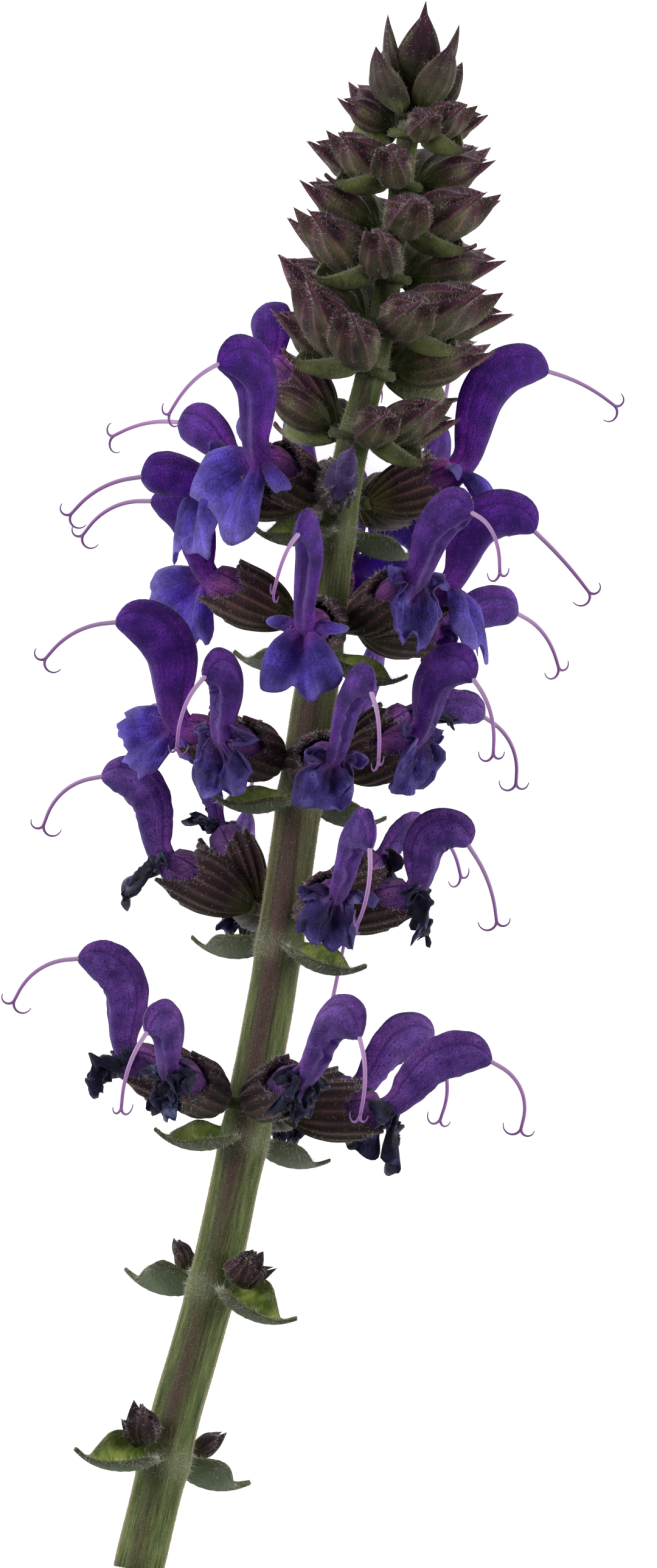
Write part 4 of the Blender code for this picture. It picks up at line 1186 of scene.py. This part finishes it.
def bract_colour(f, patches):
    """Grey-green outside, and inside a bright yellow-green that is partly its own paler colour and partly
    painted glow of light through the leaf, with dark veins and brown tips.
    """
    across, edge = f.values("across", "edge")
    # Inner face: paler green, brightened to yellow-green as painted glow of light shining through
    inner = f.ramp(patches, (0.38, (0.09, 0.16, 0.015)), (0.66, (0.62, 0.74, 0.16)))
    outer = f.ramp(patches, (0.3, (0.035, 0.062, 0.024)), (0.7, (0.12, 0.17, 0.07)))
    shown = f.times(f.plus(f.facing_up(), 0.2), 2.0, clamp=True)
    colour = f.mix(shown, outer, inner)
    colour = f.mix(f.times(across, 0.5), colour, (0.02, 0.035, 0.012))
    return f.mix(f.times(edge, 0.7), colour, (0.075, 0.035, 0.035))


def green_finish(mottle, specks, weave):
    """Stem and bracts, with dark dust on both."""
    f = Finish("stem_green")
    along, stem, turn = f.values("along", "lip", "turn")
    noise = f.group(mottle, Broad=500.0, Fine=6000.0)
    patches, grain = noise["Patches"], noise["Grain"]
    strands = f.group(weave, Along=along, Turn=turn, Rows=22.0, Length=30.0)["Streaks"]
    fibres = f.group(weave, Along=along, Turn=turn, Rows=75.0, Length=110.0)["Streaks"]
    colour = f.mix(stem, bract_colour(f, patches), stem_colour(f, strands, fibres))
    colour = f.speckle(specks, colour, 2600.0, 0.16, 0.8, (0.022, 0.014, 0.012))
    bump = f.plus(grain, f.times(fibres, 1.5))
    roughness = f.plus(f.times(grain, 0.25), 0.42)
    through = f.mix(0.6, colour, (0.40, 0.52, 0.02))
    return f.surface(colour, roughness, bump, thin=0.2, through=through, sheen=0.1, gloss=0.2)


def style_finish():
    """Lilac, glassy and paler near the hood, darker at its forked tip."""
    f = Finish("style_lilac")
    (along,) = f.values("along")
    colour = f.ramp(along, (0.0, (0.56, 0.38, 0.60)), (0.6, (0.42, 0.20, 0.50)), (1.0, (0.20, 0.08, 0.28)))
    return f.surface(colour, 0.35, thin=0.25)


def hair_finish(name, colour):
    """Clear plant hair with a tint."""
    return Finish(name).surface(opaque(colour), 0.4, thin=0.35)


# What the hairs' tree is given, and the kind of each
HAIR_INPUTS = {
    "Geometry": "Geometry",
    "Bearing": "String",
    "Density": "Float",
    "Length": "Float",
    "Radius": "Float",
    "Spread": "Float",
    "Comb": "Vector",
    "Seed": "Int",
    "Finish": "Material",
}


def hair_tree():
    """Scatters short hairs over a surface, more of them where the named value is higher."""
    tree = bpy.data.node_groups.new("plant_hairs", "GeometryNodeTree")
    for name, kind in HAIR_INPUTS.items():
        tree.interface.new_socket(name, in_out="INPUT", socket_type="NodeSocket" + kind)
    tree.interface.new_socket("Geometry", in_out="OUTPUT", socket_type="NodeSocketGeometry")
    g = Nodes(tree)
    given = g.node("NodeGroupInput").outputs
    weight = g.node("GeometryNodeInputNamedAttribute", {"data_type": "FLOAT"}, Name=given["Bearing"])
    value = weight.outputs["Attribute"]
    dense = g.pair("ShaderNodeMath", value, given["Density"], operation="MULTIPLY")
    scatter = g.node(
        "GeometryNodeDistributePointsOnFaces",
        {"distribute_method": "RANDOM"},
        Mesh=given["Geometry"],
        Density=dense,
        Seed=given["Seed"],
    )
    hair = g.node(
        "GeometryNodeMeshCone",
        {"fill_type": "NONE"},
        Vertices=3,
        Side_Segments=1,
        Radius_Top=0.0,
        Radius_Bottom=given["Radius"],
        Depth=given["Length"],
    )
    stray = g.node(
        "FunctionNodeRandomValue",
        {"data_type": "FLOAT_VECTOR"},
        Min=(-1.0, -1.0, -1.0),
        Max=(1.0, 1.0, 1.0),
        Seed=given["Seed"],
    )
    loose = g.node(
        "ShaderNodeVectorMath",
        {"operation": "SCALE"},
        Vector=shown(stray.outputs, "Value"),
        Scale=given["Spread"],
    )
    combed = g.pair("ShaderNodeVectorMath", loose.outputs[0], given["Comb"], operation="ADD")
    way = g.pair("ShaderNodeVectorMath", combed, scatter.outputs["Normal"], operation="ADD")
    turned = g.node("FunctionNodeAlignRotationToVector", {"axis": "Z"}, Vector=way)
    sizes = g.node("FunctionNodeRandomValue", {"data_type": "FLOAT"}, Min=0.4)
    stand = g.node(
        "GeometryNodeInstanceOnPoints",
        Points=scatter.outputs["Points"],
        Instance=hair.outputs["Mesh"],
        Rotation=turned.outputs["Rotation"],
        Scale=shown(sizes.outputs, "Value"),
    )
    real = g.node("GeometryNodeRealizeInstances", Geometry=stand.outputs["Instances"])
    painted = g.node("GeometryNodeSetMaterial", Geometry=real.outputs["Geometry"], Material=given["Finish"])
    g.feed(g.node("NodeGroupOutput").inputs["Geometry"], painted.outputs["Geometry"])
    return tree


# Hairs: the value that bears them, how many on a square millimetre, their length and radius in mm,
# how far they stray, and how far they lean up the spike
Coat = namedtuple("Coat", "bearing density length radius spread comb")


def read(items, name, each, kind):
    """One of a mesh's own lists of numbers, so many for each item."""
    values = np.zeros(len(items) * each, kind)
    items.foreach_get(name, values)
    return values


def hairs_on(piece, tree, given):
    """The hairs of one piece, as a plain mesh."""
    bearer = object_of("bearer", piece.data.copy())
    modifier = bearer.modifiers.new("hairs", "NODES")
    modifier.node_group = tree
    for item in tree.interface.items_tree:
        if item.name in given:
            modifier[item.identifier] = given[item.name]
    seen = bearer.evaluated_get(bpy.context.evaluated_depsgraph_get())
    mesh = bpy.data.meshes.new_from_object(seen)
    bearer.modifiers.clear()
    bpy.data.objects.remove(bearer)
    return mesh


def grow_hairs(name, pieces, tree, coat, seed, look):
    """Hairs over several pieces, as one piece."""
    given = {
        "Bearing": coat.bearing,
        "Density": coat.density / MM**2,
        "Length": coat.length * MM,
        "Radius": coat.radius * MM,
        "Spread": coat.spread,
        "Comb": (0.0, coat.comb, 0.0),
        "Finish": look.finish,
    }
    places, corners, count = [], [], 0
    for k, piece in enumerate(pieces):
        mesh = hairs_on(piece, tree, given | {"Seed": seed + k})
        places.append(read(mesh.vertices, "co", 3, np.float32))
        corners.append(read(mesh.loops, "vertex_index", 1, np.int32) + count)
        count += len(mesh.vertices)
        bpy.data.meshes.remove(mesh)
    places, corners = np.concatenate(places), np.concatenate(corners)
    places[2::3] = np.maximum(places[2::3], 0.1 * FLOOR_LIFT * MM)
    joined = bpy.data.meshes.new(name)
    joined.vertices.add(count)
    joined.vertices.foreach_set("co", places)
    joined.loops.add(len(corners))
    joined.loops.foreach_set("vertex_index", corners)
    joined.polygons.add(len(corners) // 3)
    joined.polygons.foreach_set("loop_start", np.arange(0, len(corners), 3, dtype=np.int32))
    joined.update(calc_edges=True)
    joined.validate()
    return place(name, joined, look)


def make_stem(look):
    """The leafy stem, with its bracts grown from it."""
    shell = Shell()
    add_stem(shell)
    for whorl in range(1, FIRST_BUD_WHORL):
        y = WHORL_HEIGHTS[whorl - 1]
        flowering = whorl > BARE_WHORLS
        sizes = (BRACT_LENGTH, BRACT_HALF_WIDTH, BRACT_CUPS[flowering], BRACT_SPINE)
        start = (stem_half(y) * 0.6, 0.3)
        for k, azimuth in enumerate(cymes(whorl)):
            roll = BRACT_ROLLS[flowering] if abs(azimuth) < 90 else 0
            seat, seed = Seat(y, azimuth), 10 * whorl + k
            add_bract(shell, seat, start, BRACT_HEADINGS, sizes, seed, BRACT_GRIDS[0], roll)
    return piece_of("stem_and_bracts", shell, look, "leafy_stem")


def make_withered_calyces(look):
    """What is left in the axils of the two lowest whorls."""
    made = []
    for (whorl, side), remnants in REMNANTS.items():
        shell = Shell()
        y = WHORL_HEIGHTS[whorl - 1] + REMNANT_RISE
        for k, remnant in enumerate(remnants):
            seat = Seat(y, remnant.azimuth)
            foot = seat.at(beside_stem(y, 0.3), 0.0)
            sizes = (remnant.length, remnant.half_width, remnant.half_width)
            add_bud(shell, seat, foot, remnant.rise, sizes, SEEDS["withered"] + whorl + k, age=1.0)
        place_name = f"calyces_{whorl}_{side}"
        made.append(piece_of("withered_" + place_name, shell, look, "old_" + place_name))
    return made


def make_cymes(look):
    """The calyces on each side of a flowering whorl, joined at their foot."""
    made = []
    for whorl in range(BARE_WHORLS + 1, FIRST_BUD_WHORL):
        for azimuth in cymes(whorl):
            own = [bloom for bloom in FLOWERS if bloom.whorl == whorl and cyme_of(bloom) == azimuth]
            shell = Shell()
            add_pad(shell, whorl, [foot_azimuth(bloom) for bloom in own])
            for k, bloom in enumerate(own):
                add_calyx(shell, bloom, 100 * whorl + k)
            place_name = f"{whorl}_{'left' if azimuth < 0 else 'right'}"
            made.append(piece_of("calyx_cyme_" + place_name, shell, look, "calyces_" + place_name))
    return made


def make_blooms(petal_look, style_look):
    """Each flower's corolla, and the style of each that has opened."""
    made = []
    for k, bloom in enumerate(FLOWERS):
        name = f"{bloom.whorl}_{bloom.place}"
        petals = Shell()
        add_hood(petals, bloom, SEEDS["hood"] + 3 * k)
        if bloom.lip:
            add_lip(petals, bloom, SEEDS["lip"] + 3 * k)
            style = Shell()
            add_style(style, bloom)
            piece_of("style_" + name, style, style_look, "bloom_" + name)
        made.append(piece_of("corolla_" + name, petals, petal_look, "bloom_" + name))
    return made


def add_cyme_bud(shell, whorl, cyme, k):
    """One of a cyme's three buds: the middle one, where k is 0, or one beside it."""
    y = WHORL_HEIGHTS[whorl - 1]
    root = beside_stem(y, BUD_ROOT)
    seed = 40 * whorl + k + abs(cyme)
    turned, tilted, grown = np.random.default_rng(seed).uniform(-1, 1, 3) * BUD_JITTER
    azimuth = cyme + k * BUD_SPREAD
    seat = Seat(y, azimuth + turned)
    length = (BUD_REACHES[whorl] - root) * (SIDE_BUD if k else 1.0) * (1 + grown)
    deep, wide = length * BUD_HALF[0] + BUD_PLUMP, length * BUD_HALF[1] + BUD_PLUMP
    rise = BUD_RISE + tilted
    if k == 0:
        rise += MIDDLE_RISE
        wide *= BUD_BROAD
    if abs(azimuth) < 30:
        rise += FRONT_RISE
    add_bud(shell, seat, seat.at(root, 0.35), rise, (length, deep, wide), seed)


def make_bud_whorls(look):
    """The cone: each whorl's buds and bracts, on the ring that carries them."""
    made = []
    for whorl, reach in BUD_REACHES.items():
        shell = Shell()
        y = WHORL_HEIGHTS[whorl - 1]
        root = beside_stem(y, BUD_ROOT)
        long = (reach - root) * BUD_BRACT
        sizes = (long, long * BUD_BRACT_HALF, BUD_BRACT_CUP, BUD_BRACT_SPINE)
        add_collar(shell, y)
        for cyme in cymes(whorl):
            opened = [bloom for bloom in CLOSED_BLOOMS if bloom.whorl == whorl and cyme_of(bloom) == cyme]
            for k in (-1, 0, 1):
                if k == 0 and opened:
                    add_calyx(shell, opened[0], SEEDS["unopened"] + whorl)
                else:
                    add_cyme_bud(shell, whorl, cyme, k)
            seat, seed = Seat(y, cyme), 60 * whorl + abs(cyme)
            start = (root, -0.4)
            add_bract(shell, seat, start, BUD_BRACT_HEADINGS, sizes, seed, BRACT_GRIDS[1], leaf=1.0)
        made.append(piece_of(f"buds_{whorl}", shell, look, f"bud_whorl_{whorl}"))
    return made


def make_crown(look):
    """The small pointed bracts at the tip, round their core."""
    shell = Shell()
    base = Seat(CROWN_FOOT, 0)
    heights, radii = CROWN_CORE
    core = [base.at(0, height) for height in heights] + [[stem_x(CROWN_TIP), CROWN_TIP, AXIS_HEIGHT]]
    shell.tube(round_body(np.array(core), base.side, radii, 12), (0.5, 0.3, 0.0, 0.0, 0.0, 0.5))
    for k, scale in enumerate(CROWN):
        seat = Seat(scale.height, scale.azimuth)
        sizes = (scale.length, 0.5, scale.half_width)
        add_bud(shell, seat, seat.at(0.9, 0.0), scale.rise, sizes, SEEDS["crown"] + k, lipped=False)
    return piece_of("tip_bracts", shell, look, "crown")


def make_pieces(looks):
    """Every piece of the spike in its place, by the part that bears its hairs."""
    return {
        "stem": [make_stem(looks["green"])],
        "calyces": make_withered_calyces(looks["calyx"]) + make_cymes(looks["calyx"]),
        "corollas": make_blooms(looks["petal"], looks["style"]),
        "buds": [*make_bud_whorls(looks["bud"]), make_crown(looks["bud"])],
    }


def light(name, spot, target, power):
    """A soft round lamp, turned to its target."""
    lamp = bpy.data.lights.new(name, "AREA")
    lamp.shape = "DISK"
    lamp.size = LAMP_WIDTH
    lamp.energy = power
    stand = object_of(name, lamp)
    stand.location = spot
    stand.rotation_euler = (target - Vector(spot)).to_track_quat("-Z", "Y").to_euler()


def studio():
    """A pale floor, soft light all round, and the camera straight above."""
    bpy.ops.mesh.primitive_plane_add(size=3.0)
    floor = bpy.context.object
    floor.name = "floor"
    paint = Finish("floor_white")
    floor.data.materials.append(paint.surface(opaque(0.9), 0.9))
    glow = next(node for node in paint.tree.nodes if node.type == "BSDF_PRINCIPLED")
    glow.inputs["Emission Color"].default_value = (1.0, 1.0, 1.0, 1.0)
    glow.inputs["Emission Strength"].default_value = FLOOR_GLOW

    world = bpy.data.worlds.new("studio")
    world.use_nodes = True
    nodes, links = world.node_tree.nodes, world.node_tree.links
    height = nodes.new("ShaderNodeSeparateXYZ")
    links.new(nodes.new("ShaderNodeTexCoord").outputs["Generated"], height.inputs[0])
    dim = nodes.new("ShaderNodeMapRange")
    links.new(height.outputs["Z"], dim.inputs["Value"])
    dim.inputs["From Max"].default_value = 0.9
    dim.inputs["To Min"].default_value, dim.inputs["To Max"].default_value = SKY
    links.new(dim.outputs[0], nodes["Background"].inputs["Strength"])
    nodes["Background"].inputs["Color"].default_value = (1.0, 1.0, 1.0, 1.0)
    bpy.context.scene.world = world

    for name, (spot, power) in LAMPS.items():
        light(name, spot, Vector((0.0, 0.0, AXIS_HEIGHT * MM)), power)

    camera = bpy.data.cameras.new("camera")
    camera.sensor_fit = "VERTICAL"
    camera.sensor_height = SENSOR_HEIGHT
    camera.lens = LENS
    camera.clip_start = 0.01
    stand = object_of("camera", camera)
    away = LENS / SENSOR_HEIGHT * (PHOTO_HEIGHT / PIXELS_PER_MM * MM)
    stand.location = (-BOX_MIDDLE[0] * MM, -BOX_MIDDLE[1] * MM, AXIS_HEIGHT * MM + away)
    bpy.context.scene.camera = stand
    bpy.context.scene.view_settings.view_transform = "Standard"


mottle, specks, weave = mottle_group(), speck_group(), weave_group()
calyx_brown = calyx_finish(
    "calyx_brown", mottle, specks, reach=2.4, under=0.3,
    dark=(0.024, 0.011, 0.016), rib=(0.135, 0.058, 0.058), foot=(0.11, 0.115, 0.035),
    margin=(0.12, 0.06, 0.10), tip=(0.10, 0.045, 0.08), leaf=(0.07, 0.09, 0.03),
)
bud_maroon = calyx_finish(
    "bud_maroon", mottle, specks, reach=2.0, under=0.5,
    dark=(0.030, 0.009, 0.022), rib=(0.14, 0.05, 0.075), foot=(0.13, 0.165, 0.055),
    margin=(0.25, 0.25, 0.12), tip=(0.12, 0.03, 0.06), leaf=(0.15, 0.19, 0.06),
)
looks = {
    "petal": Look(petal_finish(mottle, specks, weave), "petal_violet"),
    "calyx": Look(calyx_brown, "calyx_brown"),
    "bud": Look(bud_maroon, "bud_maroon"),
    "green": Look(green_finish(mottle, specks, weave), "stem_green"),
    "style": Look(style_finish(), "petal_violet"),
}
pieces = make_pieces(looks)
white = hair_finish("hair_white", (0.85, 0.85, 0.80))
lilac = hair_finish("hair_lilac", (0.55, 0.50, 0.75))
downy = hair_finish("hair_green", (0.46, 0.50, 0.33))
coats = {
    "stem_hairs": ("stem", Coat("hair", 44, 0.27, 0.012, 0.8, -0.5), Look(downy, "stem_green")),
    "node_hairs": ("stem", Coat("edge", 26, 0.62, 0.011, 0.8, 0.3), Look(white, "stem_green")),
    "calyx_hairs": ("calyces", Coat("hair", 9, 0.26, 0.010, 0.6, 0.2), Look(white, "calyx_brown")),
    "calyx_margin_hairs": ("calyces", Coat("edge", 34, 0.42, 0.011, 0.8, 0.2), Look(white, "calyx_brown")),
    "bud_hairs": ("buds", Coat("hair", 6, 0.24, 0.009, 0.6, 0.3), Look(white, "bud_maroon")),
    "bud_margin_hairs": ("buds", Coat("edge", 24, 0.42, 0.009, 0.8, 0.3), Look(white, "bud_maroon")),
    "corolla_hairs": ("corollas", Coat("hair", 14, 0.16, 0.010, 0.7, 0.1), Look(lilac, "petal_violet")),
}
tree = hair_tree()
for k, (name, (bearers, coat, look)) in enumerate(coats.items()):
    grow_hairs(name, pieces[bearers], tree, coat, 100 * k + 1, look)

studio()
